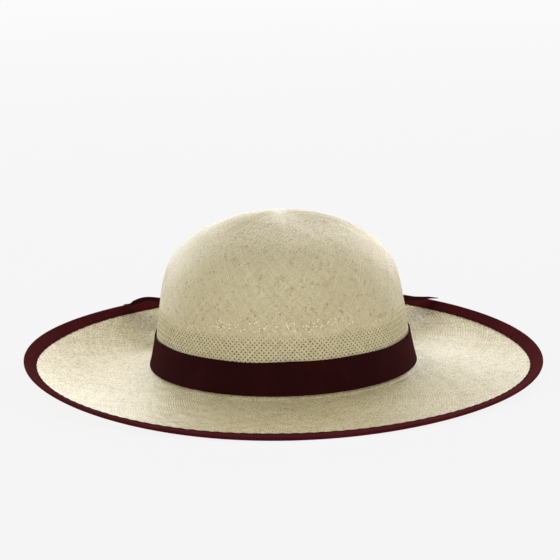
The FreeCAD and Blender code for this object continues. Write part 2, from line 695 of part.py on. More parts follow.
def sweat_inside_placement(theta, height):
    """A frame just inside the sweatband's inner face: X along it, Y up it, Z towards the head."""
    outside = size("sweat_low_half") - LEAN * (height - size("sweat_base"))
    half_width = outside - size("sweat_thick")
    half_length = outside * OVAL - size("sweat_thick")
    point = oval_point(half_width, half_length, height, theta)
    outward = Vector(math.cos(theta) / half_width, math.sin(theta) / half_length, 0)
    outward.normalize()
    tangent = Vector(0, 0, 1).cross(outward)
    upward = Vector(0, 0, 1) - outward * LEAN
    upward.normalize()
    inward = tangent.cross(upward) * -1
    turn = Rotation(tangent * -1, upward, inward, "XYZ")
    return Placement(point + inward * size("lining_gap") + Vector(0, 0, size("head_line_height")), turn)


def make_size_label():
    """Blank folded label sewn inside the sweatband near the back."""
    body = make_body("size_label", sweat_inside_placement(degrees("label_angle"), size("label_rise")))
    outline = new_sketch(body, "label_outline")
    rectangle(outline, "-sizes.label_length / 2", "-sizes.label_height / 2",
              "sizes.label_length", "sizes.label_height")
    pad(body, outline, "sizes.label_thick")
    return body


def make_sweatband_bow():
    """Small ribbon bow that covers the sweatband's seam: two wedges joined at a narrow waist."""
    body = make_body("sweatband_bow", sweat_inside_placement(math.pi / 2, size("inner_bow_rise")))
    outline = new_sketch(body, "inner_bow_outline")
    half = size("inner_bow_length") / 2
    tall = size("inner_bow_height") / 2
    waist = size("inner_bow_waist")
    factors = [(-1, -1), (0, -waist), (1, -1), (1, 1), (0, waist), (-1, 1)]
    corners = [Vector(half * across, tall * up, 0) for across, up in factors]
    count = len(corners)
    for start, end in zip(corners, corners[1:] + corners[:1]):
        outline.addGeometry(Part.LineSegment(start, end), False)
    for side in range(count):
        outline.addConstraint(Sketcher.Constraint("Coincident", side, 2, (side + 1) % count, 1))
    for side, (across, up) in enumerate(factors):
        rise = "sizes.inner_bow_height / 2" + (" * sizes.inner_bow_waist" if across == 0 else "")
        bind(outline, Sketcher.Constraint("DistanceX", -1, 1, side, 1, corners[side].x), f"across{side}",
             f"sizes.inner_bow_length / 2 * {across}")
        bind(outline, Sketcher.Constraint("DistanceY", -1, 1, side, 1, corners[side].y), f"up{side}",
             f"{rise} * {1 if up > 0 else -1}")
    pad(body, outline, "sizes.inner_bow_thick")
    return body


def make_band_tacks():
    """Short bars of thread that hold the band's upper edge to the crown."""
    radius = size("tack_dia") / 2
    length = size("tack_length")
    reach = radius + size("tack_gap")
    height = size("band_width") - size("tack_inset")
    half_width = size("band_high_half") + size("tack_inset") * math.tan(BAND_SLOPE)
    half_length = half_width + size("band_extra_length")
    tacks = []
    for angle in TACK_ANGLES:
        theta = math.radians(angle)
        outward = Vector(math.cos(theta) / half_width, math.sin(theta) / half_length, 0)
        outward.normalize()
        upward = Vector(0, 0, 1) - outward * math.tan(BAND_SLOPE)
        upward.normalize()
        middle = oval_point(half_width, half_length, height, theta) + outward * reach
        tacks.append(Part.makeCylinder(radius, length, middle - upward * (length / 2), upward))
    return shaped_feature("band_tacks", Part.makeCompound(tacks))


# ---------------------------------------------------------------- build, check, write

def make_parts():
    return [
        make_straw_body(),
        make_hat_band(),
        make_bow_knot(),
        make_bow_loop("bow_loop_left", 1),
        make_bow_loop("bow_loop_right", -1),
        make_bow_tail("bow_tail_left", 1),
        make_bow_tail("bow_tail_right", -1),
        make_edge_binding(),
        make_brim_wire(),
        make_wire_sleeve(),
        make_sweatband(),
        make_reed(),
        make_reed_tape(),
        make_sweatband_bow(),
        make_size_label(),
        make_band_tacks(),
    ]


def check_and_write(parts):
    doc.recompute()
    for item in doc.Objects:
        if "Invalid" in item.State or "Error" in item.State:
            raise RuntimeError(f"{item.Name} failed: {item.State}")
    for item in parts:
        if item.Shape.isNull() or not item.Shape.isValid():
            raise RuntimeError(f"{item.Label} has no valid shape")
    os.makedirs("parts", exist_ok=True)
    for item in parts:
        item.Shape.exportStep(f"parts/{item.Label}.step")
        box = item.Shape.BoundBox
        print(f"{item.Label}: {item.Shape.Volume:.0f} mm3, x {box.XMin:.1f} {box.XMax:.1f}, "
              f"y {box.YMin:.1f} {box.YMax:.1f}, z {box.ZMin:.2f} {box.ZMax:.1f}")


check_and_write(make_parts())
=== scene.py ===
import math

import bmesh
import bpy
import numpy as np
from mathutils import Matrix, Vector


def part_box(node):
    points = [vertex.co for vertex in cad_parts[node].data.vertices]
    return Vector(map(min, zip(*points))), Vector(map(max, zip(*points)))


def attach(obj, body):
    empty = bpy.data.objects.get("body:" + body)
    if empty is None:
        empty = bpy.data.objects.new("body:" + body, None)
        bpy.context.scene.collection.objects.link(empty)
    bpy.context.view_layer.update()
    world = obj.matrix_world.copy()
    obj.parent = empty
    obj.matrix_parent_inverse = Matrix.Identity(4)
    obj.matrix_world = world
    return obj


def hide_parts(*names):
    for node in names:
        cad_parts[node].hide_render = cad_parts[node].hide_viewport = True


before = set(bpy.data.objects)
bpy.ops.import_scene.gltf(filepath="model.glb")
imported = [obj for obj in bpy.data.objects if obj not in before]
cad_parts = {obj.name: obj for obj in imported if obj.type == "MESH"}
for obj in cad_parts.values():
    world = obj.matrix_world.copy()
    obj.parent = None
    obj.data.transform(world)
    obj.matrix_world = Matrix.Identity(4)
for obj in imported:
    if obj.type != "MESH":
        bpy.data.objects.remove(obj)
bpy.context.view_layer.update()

# The straw sun hat's looks. Lengths are in metres, in the frame of the CAD model: +Z up, +Y to the
# back of the head, +X to the wearer's left. Heights in the shape functions are counted from the
# head line, the oval where the crown meets the brim.

MM = 0.001
HEAD_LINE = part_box("hat_band")[0][2]  # height of the head line over the floor
CROWN_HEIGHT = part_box("straw_body")[1][2] - HEAD_LINE
RNG = np.random.default_rng(7)

# ---- the straw's outer surface

HEAD = 84.9 * MM  # half width of the wall, carried down to the head line
OVAL = 1.212  # crown length over crown width
LEAN = 0.125  # how much the wall leans in, per unit of height
STRAW = 1.0 * MM  # thickness of the straw
DOME_START = 22 * MM
SIDE_POWER, TOP_POWER, TIP_SOFT = 4.9, 1.31, 0.15
TURN_RADIUS, TURN_RISE = 5.5 * MM, 3.7 * MM
LEAN_ANGLE = math.atan(LEAN)
TURN_OUT = HEAD - LEAN * TURN_RISE + TURN_RADIUS / math.cos(LEAN_ANGLE)
WALL_FOOT = TURN_RISE - TURN_RADIUS * math.sin(LEAN_ANGLE)
BRIM_WIDE, BRIM_LONG = 168.0 * MM, 186.9 * MM
WALL, TURN, RIM = 1.0, 2.0, 4.0  # stations along the outline; the top is 0, and the brim starts at 3
BAND_WIDTH = 22 * MM
FLOOR_GAP = 0.03 * MM


def oval(half_width, half_length, height, theta):
    return np.stack([half_width * np.cos(theta), half_length * np.sin(theta),
                     height + 0 * theta], -1)


def wave(theta, mean, back=0.0, side=0.0, saddle=0.0, wave_back=0.0, wave_side=0.0):
    """A value that changes round the hat."""
    return (mean + back * np.sin(theta) + side * np.cos(theta) + saddle * np.cos(2 * theta)
            + wave_back * np.sin(3 * theta) + wave_side * np.cos(3 * theta))


def dip(theta):
    return np.radians(wave(theta, 7.0, side=-4.0))


def flare(theta):
    return np.radians(wave(theta, 24.6, back=17.6, side=-0.65, saddle=11.7))


def rim_height(theta):
    return wave(theta, 3.14, 8.0, -2.99, 0.66, -0.70, -0.76) * MM


def dome(theta, share):
    swing = math.pi / 2 * np.maximum(0.0, 1 - share) ** 2.5
    height = DOME_START + (CROWN_HEIGHT - DOME_START) * np.sin(swing) ** (2 / SIDE_POWER)
    tip = TIP_SOFT ** TOP_POWER
    full = (1 + TIP_SOFT ** 2) ** (TOP_POWER / 2) - tip
    reach = (np.cos(swing) ** 2 * full + tip) ** (2 / TOP_POWER) - TIP_SOFT ** 2
    half = (HEAD - LEAN * height) * np.sqrt(np.maximum(0.0, reach))
    return oval(half, half * OVAL, height, theta)


def wall(theta, share):
    height = DOME_START + (WALL_FOOT - DOME_START) * share
    half = HEAD - LEAN * height
    return oval(half, half * OVAL, height, theta)


def turn(theta, share):
    swing = LEAN_ANGLE + (math.pi / 2 - dip(theta) - LEAN_ANGLE) * share
    half = TURN_OUT - TURN_RADIUS * np.cos(swing)
    longer = (OVAL - 1) * (HEAD - LEAN * WALL_FOOT)
    return oval(half, half + longer, TURN_RISE - TURN_RADIUS * np.sin(swing), theta)


def brim_run(theta):
    start = turn(theta, 1.0)
    end = oval(BRIM_WIDE, BRIM_LONG, rim_height(theta), theta)
    return start, end, np.hypot(end[..., 0] - start[..., 0], end[..., 1] - start[..., 1])


def brim(theta, share):
    start, end, run = brim_run(theta)
    rise_in = -np.tan(dip(theta)) * run
    rise_out = np.tan(flare(theta)) * run
    curl = wave(theta, 0.2, side=0.2)
    lifting = (1 - curl) * share ** 2 + curl * share ** 5
    height = ((1 + 2 * share) * (1 - share) ** 2 * start[..., 2] + share * (1 - share) ** 2 * rise_in
              + share ** 2 * (3 - 2 * share) * end[..., 2] + (share - 1) * lifting * rise_out)
    point = start + (end - start) * np.asarray(share)[..., None]
    point[..., 2] = height
    return point


def outer(theta, station):
    """Points of the straw's outer surface, for arrays of the same shape."""
    theta, station = np.broadcast_arrays(np.asarray(theta, float), np.asarray(station, float))
    part = np.clip(station.astype(int), 0, 3)
    points = np.zeros(theta.shape + (3,))
    for number, outline in enumerate((dome, wall, turn, brim)):
        chosen = part == number
        if chosen.any():
            points[chosen] = outline(theta[chosen], station[chosen] - number)
    return points


def unit(vectors):
    return vectors / np.maximum(np.linalg.norm(vectors, axis=-1, keepdims=True), 1e-12)


def surface(theta, station):
    """Points, directions outwards along the straw, and normals."""
    step = 1e-4
    along = unit(outer(theta, station + step) - outer(theta, station - step))
    around = outer(theta + step, station) - outer(theta - step, station)
    normal = unit(np.cross(along, around))
    return outer(theta, station), along, normal


def straw(theta, station, depth=0.0):
    """Points at a depth under the straw's outer surface, lifted to their real height."""
    point, _, normal = surface(theta, station)
    return lift(point - normal * np.asarray(depth)[..., None])


def edge(theta, outward, depth):
    """Points near the rim: outward along the straw from its edge, at a depth under its outside."""
    theta, outward, depth = np.broadcast_arrays(theta, outward, depth)
    run = brim_run(theta)[2]
    inside = RIM + np.minimum(outward, 0) * np.cos(flare(theta)) / run
    point, along, normal = surface(theta, inside)
    return lift(point + along * np.maximum(outward, 0)[..., None] - normal * depth[..., None])


def lift(points):
    return above_floor(points + np.array([0, 0, HEAD_LINE]))


def above_floor(points):
    """Presses what would dip below the floor flat against it."""
    points[..., 2] = np.maximum(points[..., 2], FLOOR_GAP)
    return points


# ---- meshes

def ring_angles(count):
    return np.arange(count) * 2 * math.pi / count


def make_mesh(name, points, faces, uv=None, material=None):
    """A smooth mesh. uv gives one pair for each corner of each face, in the faces' order."""
    mesh = bpy.data.meshes.new(name)
    mesh.from_pydata([tuple(p) for p in points.reshape(-1, 3)], [], [tuple(f) for f in faces])
    mesh.polygons.foreach_set("use_smooth", [True] * len(mesh.polygons))
    if uv is not None:
        layer = mesh.uv_layers.new(name="weave")
        layer.data.foreach_set("uv", np.asarray(uv, dtype=np.float32).ravel())
    mesh.update()
    piece = bpy.data.objects.new(name, mesh)
    bpy.context.scene.collection.objects.link(piece)
    if material is not None:
        mesh.materials.append(material)
    return piece


def grid_faces(rows, columns, close_rows=False):
    """Quads between the points of a grid whose columns close to a ring, and the grid cell of each
    corner for its uv."""
    used_rows = rows if close_rows else rows - 1
    row, column = [numbers.ravel() for numbers in np.indices((used_rows, columns))]
    corners = [(row, column), (row + 1, column), (row + 1, column + 1), (row, column + 1)]
    cells = np.stack([np.stack(corner, -1) for corner in corners], 1)
    faces = cells[..., 0] % rows * columns + cells[..., 1] % columns
    return faces, cells


def ring_mesh(name, grid, u_of_column, v_of_row, material):
    """A closed skin from a grid [row][column] of points that runs round the hat."""
    faces, cells = grid_faces(*grid.shape[:2], close_rows=True)
    u_values = np.append(u_of_column, 2 * u_of_column[-1] - u_of_column[-2])
    v_values = np.append(v_of_row, v_of_row[-1])
    uv = np.stack([u_values[cells[..., 1]], v_values[cells[..., 0]]], -1)
    return make_mesh(name, grid, faces, uv, material)


def end_caps(rows, width):
    """Quads that close both ends of a flat tube, whose rings run across one side and back on the other."""
    caps = []
    for row in (0, rows - 1):
        for k in range(width // 2 - 1):
            start, end = row * width + k, row * width + width - 1 - k
            quad = (start, start + 1, end - 1, end)
            caps.append(quad if row else quad[::-1])
    return caps


def lengths_along(points):
    return np.concatenate([[0], np.cumsum(np.linalg.norm(np.diff(points, axis=0), axis=1))])


# ---- materials

class Wire:
    """What a node gives. Adding, subtracting or multiplying it makes the node for that."""

    def __init__(self, nodes, socket):
        self.nodes, self.socket = nodes, socket

    def __add__(self, other):
        return self.nodes.maths("ADD", self, other)

    def __sub__(self, other):
        return self.nodes.maths("SUBTRACT", self, other)

    def __rsub__(self, other):
        return self.nodes.maths("SUBTRACT", other, self)

    def __mul__(self, other):
        return self.nodes.maths("MULTIPLY", self, other)


class Nodes:
    """Short names for the nodes of a material or of the world."""

    def __init__(self, owner, shader="Principled BSDF"):
        self.owner = owner
        owner.use_nodes = True
        self.tree = owner.node_tree
        self.shader = self.tree.nodes[shader]

    def put(self, socket, value):
        if isinstance(value, Wire):
            self.tree.links.new(value.socket, socket)
        else:
            socket.default_value = value

    def node(self, kind, inputs, output=0, **settings):
        """Makes a node with these settings and inputs, and gives one of its outputs."""
        node = self.tree.nodes.new("ShaderNode" + kind)
        for name, value in settings.items():
            setattr(node, name, value)
        for socket, value in inputs.items():
            self.put(node.inputs[socket], value)
        return Wire(self, node.outputs[output])

    def maths(self, operation, *values):
        return self.node("Math", dict(enumerate(values)), operation=operation)

    def place(self):
        return self.node("TexCoord", {}, "Object")

    def split(self, vector):
        first = self.node("SeparateXYZ", {0: vector})
        return [Wire(self, socket) for socket in first.socket.node.outputs]

    def join(self, *values):
        return self.node("CombineXYZ", dict(enumerate(values)))

    def uv(self):
        return self.split(self.node("UVMap", {}, uv_map="weave"))[:2]

    def noise(self, vector, scale, detail=2.0):
        return self.node("TexNoise", {"Vector": vector, "Scale": scale, "Detail": detail}, "Fac")

    def chance(self, x, y):
        """A fixed random number from 0 to 1 for each pair of whole numbers."""
        return self.node("TexWhiteNoise", {"Vector": self.join(x, y)}, "Value", noise_dimensions="2D")

    def ramp(self, value, low, high):
        """0 below low and 1 above high, smooth between."""
        return self.node("MapRange", {"Value": value, "From Min": low, "From Max": high},
                         interpolation_type="SMOOTHSTEP")

    def mix(self, share, first, second, kind="MIX"):
        """A colour between two colours."""
        return self.node("Mix", {0: share, 6: first, 7: second}, 2, data_type="RGBA", blend_type=kind)

    def blend(self, share, first, second):
        """A number between two numbers."""
        return self.node("Mix", {0: share, 2: first, 3: second})

    def shaded(self, colour, *factors):
        """The colour with its red, green and blue multiplied."""
        return self.mix(1.0, colour, (*factors, 1), "MULTIPLY")

    def bump(self, height, strength, distance):
        return self.node("Bump", {"Height": height, "Strength": strength, "Distance": distance})

    def finish(self, **inputs):
        """Sets the shader's inputs, named with _ for each space."""
        for name, value in inputs.items():
            self.put(self.shader.inputs[name.replace("_", " ")], value)
        return self.owner


def new_material(name):
    return Nodes(bpy.data.materials.new(name))


def scaled(colour, factor):
    return tuple(min(1.0, part * factor) for part in colour[:3]) + (1,)


STRAW_PALE = (0.95, 0.835, 0.500, 1)
STRAW_MID = (0.70, 0.585, 0.305, 1)
STRAW_TAN = (0.62, 0.44, 0.20, 1)
STRAW_BROWN = (0.38, 0.25, 0.11, 1)
STRAW_DEEP = (0.16, 0.115, 0.05, 1)
STRAW_SHINE = 0.9
# Scales of the straw's unevenness, as waves per metre: its strips wander and kink, and its colour varies.
WANDER, KINKS, CLOUDS, PATCHES, SPECKS = 60.0, 380.0, 28.0, 150.0, 1000.0
WANDER_SIZE, KINK_SIZE = 0.9, 0.7  # in strips
# How strongly each mark colours the straw; the darkening of the gaps between the strips is painted shade.
TINT_DEPTH, CLOUD_DEPTH, PATCH_DEPTH = 0.62, 0.28, 0.42
STREAK_DEPTH, FLECK_DEPTH, GAP_SHADE_DEPTH = 0.58, 0.60, 0.62
PILLOW_POWER = 0.45  # the lower, the fuller each cell of the weave
STRIP_APART, STREAK_STRETCH = 1.7, 0.22  # a strip's streaks differ from its neighbour's and run along it
TOP_WEAVE = 0.7 / (1.5 * MM)  # strips per metre in the weave across the crown's top
TOP_HEIGHT = HEAD_LINE + 90 * MM  # where that weave starts, on a ragged line
TOP_RAGS, TOP_RAGGED, TOP_FADE = 160.0, 6 * MM, 2 * MM  # that line's waves per metre, size and blur
# Painted light: in front, between these heights, the crown's straw glows in single spots, standing in for
# daylight seen through pinholes; the straw has no holes there.
PINHOLES_LOW, PINHOLES_HIGH = HEAD_LINE + 37 * MM, HEAD_LINE + 52 * MM
PINHOLES_FRONT = -70 * MM  # they start in front of this
PINHOLE_DRIFT = 9 * MM  # how far their upper limit varies
PINHOLE_LIGHT, PINHOLE_GLOW = (1.0, 0.95, 0.82, 1), 1.1
STRAW_RELIEF = 0.42 * MM


def weave_of(n, first, second):
    """Plain weave of strips whose edges lie on whole numbers of first and of second. Gives the
    height, the tint of the strip on top, its streaks, the brown flecks and the spots for the painted pinhole
    glow."""
    wave_first = n.maths("SINE", first * math.pi)
    wave_second = n.maths("SINE", second * math.pi)
    both = wave_first * wave_second
    height = n.maths("POWER", n.maths("ABSOLUTE", both), PILLOW_POWER)
    on_top = n.ramp(both, -0.05, 0.05)
    strip_first, strip_second = n.maths("FLOOR", first), n.maths("FLOOR", second)
    tint = n.blend(on_top, n.chance(strip_first, 3.0), n.chance(strip_second, 8.0))
    along_first = n.noise(n.join(strip_first * STRIP_APART, second * STREAK_STRETCH), 1.0, 1.0)
    along_second = n.noise(n.join(0.0, first * STREAK_STRETCH, strip_second * STRIP_APART), 1.0, 1.0)
    streak = n.blend(on_top, along_first, along_second)
    fleck = n.chance(strip_first, strip_second)
    corner = n.maths("MAXIMUM", n.maths("ABSOLUTE", wave_first), n.maths("ABSOLUTE", wave_second))
    picked = n.chance(n.maths("ROUND", first), n.maths("ROUND", second))
    painted_pinhole = n.ramp(corner, 0.60, 0.36) * n.ramp(picked, 0.80, 0.83)
    return height, tint, streak, fleck, painted_pinhole


def across_top(n, place, wobble, weave):
    """Near the crown's top the strips can't run round any more, so the weave runs straight across."""
    x, y, z = n.split(place)
    flat = weave_of(n, (x + y) * TOP_WEAVE + wobble, (x - y) * TOP_WEAVE + wobble)
    ragged = z + n.noise(place, TOP_RAGS) * TOP_RAGGED
    top = n.ramp(ragged, TOP_HEIGHT, TOP_HEIGHT + TOP_FADE)
    return [n.blend(top, low, high) for low, high in zip(weave[:4], flat)]


def paint_pinhole_glow(n, place, painted_pinhole):
    """Painted light: the straw glows in single spots at the front over the openwork, standing in for daylight
    through gaps in the close weave.
    """
    _, y, z = n.split(place)
    drift = z + n.noise(place, 45.0, 1.0) * PINHOLE_DRIFT
    zone = (n.ramp(z, PINHOLES_LOW, PINHOLES_LOW + 1 * MM)
            * n.ramp(drift, PINHOLES_HIGH, PINHOLES_HIGH - 3 * MM)
            * n.ramp(y, PINHOLES_FRONT, PINHOLES_FRONT - 10 * MM))
    n.finish(Emission_Color=PINHOLE_LIGHT, Emission_Strength=painted_pinhole * zone * PINHOLE_GLOW)


def patches(n, place):
    return n.ramp(n.noise(place, PATCHES), 0.58, 0.72)


def dark_specks(n, place):
    return n.ramp(n.noise(place, SPECKS, 1.0), 0.50, 0.72)


def straw_material(name, crown=False, contrast=1.0, specks=0.62, shade=0.88):
    """Woven straw: u and v count the strips round the hat and up it."""
    n = new_material(name)
    u, v = n.uv()
    place = n.place()
    wobble = (n.noise(place, WANDER) - 0.5) * WANDER_SIZE + (n.noise(place, KINKS, 1.0) - 0.5) * KINK_SIZE
    u, v = u + wobble, v + wobble * 0.7
    weave = weave_of(n, u + v, u - v)
    if crown:
        # Painted light: glowing spots stand in for light through pinholes.
        paint_pinhole_glow(n, place, weave[4])
        weave = across_top(n, place, wobble, weave)
        near_top = n.ramp(n.split(place)[2], TOP_HEIGHT - 12 * MM, TOP_HEIGHT + TOP_FADE)
        specks = n.blend(near_top, 0.5 * specks, specks)
    height, tint, streak, fleck = weave[:4]
    cloud = n.ramp(n.noise(place, CLOUDS, 3.0), 0.35, 0.75)
    colour = n.mix(tint * (TINT_DEPTH * contrast), STRAW_PALE, STRAW_MID)
    colour = n.mix(cloud * CLOUD_DEPTH, colour, STRAW_MID)
    colour = n.mix(patches(n, place) * PATCH_DEPTH, colour, STRAW_TAN)
    colour = n.mix(n.ramp(streak, 0.58, 0.76) * (STREAK_DEPTH * contrast), colour, STRAW_TAN)
    colour = n.mix(n.ramp(fleck, 0.975, 0.985) * FLECK_DEPTH, colour, STRAW_BROWN)
    colour = n.mix(dark_specks(n, place) * specks, colour, STRAW_DEEP)
    # Painted shade: the gaps between the strips, where the weave lies low, are darkened.
    colour = n.mix(n.ramp(height, 0.55, 0.05) * (GAP_SHADE_DEPTH * contrast), colour, STRAW_DEEP)
    fibre = n.noise(n.join(u, v, tint), 9.0)
    relief = height * 0.8 + fibre * 0.25 + tint * 0.45
    # Painted shade and light: shade darkens the crown's straw and lightens the brim's, though both are the
    # same straw.
    return n.finish(Base_Color=n.shaded(colour, shade, shade, shade), Roughness=n.blend(tint, 0.40, 0.58),
                    Normal=n.bump(relief, 0.9, STRAW_RELIEF * contrast),
                    Specular_IOR_Level=STRAW_SHINE, Coat_Weight=0.45, Coat_Roughness=0.42)


def strip_material():
    """Single straw strips of the openwork: v runs along the strip, u is its own number."""
    n = new_material("straw_strip")
    u, v = n.uv()
    place = n.place()
    number = n.maths("FLOOR", u)
    streak = n.noise(n.join(number * STRIP_APART, v * 0.3), 1.0, 1.0)
    fibre = n.noise(n.join(u * 8.0, v * 0.5), 3.0)
    colour = n.mix(n.chance(number, 5.0) * 0.5, STRAW_PALE, STRAW_MID)
    colour = n.mix(n.ramp(streak, 0.58, 0.78) * 0.4, colour, STRAW_TAN)
    colour = n.mix(patches(n, place) * 0.35, colour, STRAW_TAN)
    colour = n.mix(dark_specks(n, place) * 0.35, colour, STRAW_DEEP)
    return n.finish(Base_Color=n.shaded(colour, 0.76, 0.765, 0.77), Roughness=0.55,
                    Normal=n.bump(fibre, 0.4, 0.1 * MM), Specular_IOR_Level=STRAW_SHINE)


# BRIGHT_BURGUNDY is the band's dark burgundy painted brighter for the binding, as painted light for the light
# it catches.
BURGUNDY, BRIGHT_BURGUNDY = (0.026, 0.0050, 0.0056, 1), (0.066, 0.0072, 0.0094, 1)
SHEEN_RED = (1.0, 0.40, 0.40, 1)
LEATHER_DARK, LEATHER_PALE, LEATHER_PORE = (0.42, 0.25, 0.12, 1), (0.60, 0.40, 0.22, 1), (0.26, 0.14, 0.06, 1)
TAPE, LABEL = (0.72, 0.67, 0.55, 1), (0.86, 0.85, 0.80, 1)
DARK_THREAD, PALE_THREAD = (0.030, 0.0052, 0.0060, 1), (0.62, 0.50, 0.34, 1)
STEEL_DARK, STEEL_PALE = (0.42, 0.42, 0.43, 1), (0.66, 0.66, 0.68, 1)
REED_DARK, REED_PALE = (0.72, 0.70, 0.62, 1), (0.82, 0.81, 0.74, 1)
THREADS = 1800.0  # threads per metre of tape and label


def grosgrain_material(name, colour):
    """Ribbed ribbon: u counts the ribs, v runs across the ribbon from 0 to 1."""
    n = new_material(name)
    u, v = n.uv()
    rib = n.maths("ABSOLUTE", n.maths("SINE", u * math.pi))
    thread = n.noise(n.join(u, v * 30.0), 3.0)
    cloud = n.ramp(n.noise(n.place(), 40.0, 3.0), 0.45, 0.75)
    # Painted shade: the hollows between the ribs are darker.
    shade = n.mix(rib, scaled(colour, 0.6), colour)
    shade = n.mix(cloud * 0.4, shade, scaled(colour, 1.45))
    return n.finish(Base_Color=shade, Roughness=n.blend(thread, 0.72, 0.9),
                    Normal=n.bump(rib * 0.8 + thread * 0.4, 0.5, 0.15 * MM),
                    Specular_IOR_Level=0.0, Sheen_Weight=0.06, Sheen_Tint=SHEEN_RED)


def leather_material(name, shade):
    n = new_material(name)
    place = n.place()
    grain = n.node("TexVoronoi", {"Vector": place, "Scale": 900.0}, "Distance", feature="DISTANCE_TO_EDGE")
    pores = n.ramp(grain, 0.0, 0.25)
    cloud = n.noise(place, 30.0, 4.0)
    wrinkle = n.noise(place, 180.0, 3.0)
    colour = n.mix(cloud, LEATHER_DARK, LEATHER_PALE)
    colour = n.mix((1.0 - pores) * 0.35, colour, LEATHER_PORE)
    return n.finish(Base_Color=n.shaded(colour, shade, shade, shade), Roughness=n.blend(cloud, 0.42, 0.6),
                    Normal=n.bump(pores + wrinkle, 0.35, 0.2 * MM), Specular_IOR_Level=0.4 * shade)


def cloth_material(name, colour):
    """Plain woven tape, label or thread."""
    n = new_material(name)
    x, y, z = n.split(n.place())
    across = n.maths("SINE", (x + y) * (THREADS * math.pi))
    up = n.maths("SINE", z * (THREADS * math.pi))
    weave = n.maths("ABSOLUTE", across * up)
    cloud = n.noise(n.place(), 90.0, 3.0)
    dark = scaled(colour, 0.72)
    shade = n.mix(cloud * 0.7, colour, dark)
    # Painted shade: darker in the lines between the threads.
    shade = n.mix(weave * 0.3, dark, shade)
    return n.finish(Base_Color=n.mix(weave, dark, shade), Roughness=n.blend(cloud, 0.75, 0.9),
                    Normal=n.bump(weave, 0.4, 0.1 * MM), Specular_IOR_Level=0.05)


def metal_material():
    n = new_material("spring_steel")
    scratch = n.noise(n.place(), 500.0, 3.0)
    return n.finish(Base_Color=n.mix(scratch, STEEL_DARK, STEEL_PALE),
                    Roughness=n.blend(scratch, 0.28, 0.45), Normal=n.bump(scratch, 0.15, 0.05 * MM),
                    Metallic=1.0)


def plastic_material():
    n = new_material("reed_plastic")
    cloud = n.noise(n.place(), 120.0, 3.0)
    return n.finish(Base_Color=n.mix(cloud, REED_DARK, REED_PALE),
                    Roughness=n.blend(cloud, 0.4, 0.55), Normal=n.bump(cloud, 0.1, 0.1 * MM))


# ---- straw pieces

STRIPS = 290  # strips of each of the two directions of the crown, all round
COLUMNS = 2 * STRIPS
PITCH = 2.0 * MM  # height of one weave cell of the crown
CROWN_FOOT = 37.5 * MM  # where the close weave starts
CROWN_TIP = 0.012  # station of the small hole at its top that close_top fills
FOOT_SINK, FOOT_RUN = 0.45 * MM, 4.5 * MM  # how deep the foot sinks in, and over what height
PILLOW, CROWN_LUMPS = 0.16 * MM, 0.5 * MM
BRIM_STRIPS = 320
BRIM_PITCH = 2.2 * MM
BRIM_FOOT = 19.5 * MM  # the brim's piece starts on the wall, behind the band
BRIM_PILLOW, UNDER_PILLOW, BRIM_LUMPS = 0.34 * MM, 0.18 * MM, 0.9 * MM
OPENWORK_LOW, OPENWORK_HIGH = 18 * MM, 42 * MM
OPEN_STRIPS = 172  # strips of each direction in the openwork, all round
OPEN_PITCH = 3.1 * MM  # height of one cell of the openwork
OPEN_SPACING = 2.26 * MM  # distance between two of its strips
OPEN_FILL, CLOSE_FILL = 0.645, 0.90  # share of that distance which the strip takes up, low and high
OPEN_TOP, OPEN_FADE = 34 * MM, 4 * MM  # where the strips start to widen, and over what height
OPEN_DEPTH, OPEN_SWING = 0.22 * MM, 0.17 * MM  # how deep the strips lie, and how far they swing out and in
OPEN_STEPS = 6  # points along a strip in each cell
OPEN_SHIFT, OPEN_BEND = 0.010, 0.018  # how far single strips stray, in strips
END_SINK, END_RUN = 0.6 * MM, 3 * MM  # their upper ends sink in behind the close weave
STRIP_THIN = 0.14 * MM  # half their thickness
STRIP_SECTION = ((1, 0.3), (0.6, 1), (-0.6, 1), (-1, 0.3), (-0.9, -1), (0.9, -1))


def station_of_height(height):
    """The station of a height on the dome's lower part or on the wall."""
    if height <= DOME_START:
        return WALL + (DOME_START - height) / (DOME_START - WALL_FOOT)
    low, high = 1e-6, 1.0
    for _ in range(40):
        middle = (low + high) / 2
        if dome(np.array(0.0), np.array(middle))[2] > height:
            low = middle
        else:
            high = middle
    return (low + high) / 2


def evenly_spaced(first, last, step):
    """Stations from first to last whose points stand about step apart along the straw."""
    fine = np.linspace(first, last, 600)
    lengths = lengths_along(outer(0.0, fine))
    count = max(2, int(round(lengths[-1] / step)) + 1)
    return np.interp(np.linspace(0, lengths[-1], count), lengths, fine), lengths[-1]


def lumps(theta, station, size, seed, waves=14):
    """A soft unevenness of a blocked straw surface."""
    rng = np.random.default_rng(seed)
    total = 0
    for _ in range(waves):
        around = rng.integers(1, 26)
        up = rng.uniform(1, 18)
        phase = rng.uniform(0, 2 * math.pi, 2)
        total = total + np.sin(around * theta + phase[0]) * np.sin(up * station + phase[1])
    return total / waves * size


def checker(rows, columns, size):
    """Raises every second point, so that each weave cell is a small pillow."""
    row, column = np.indices((rows, columns))
    return np.where((row + column) % 2 == 0, size / 2, -size / 2)


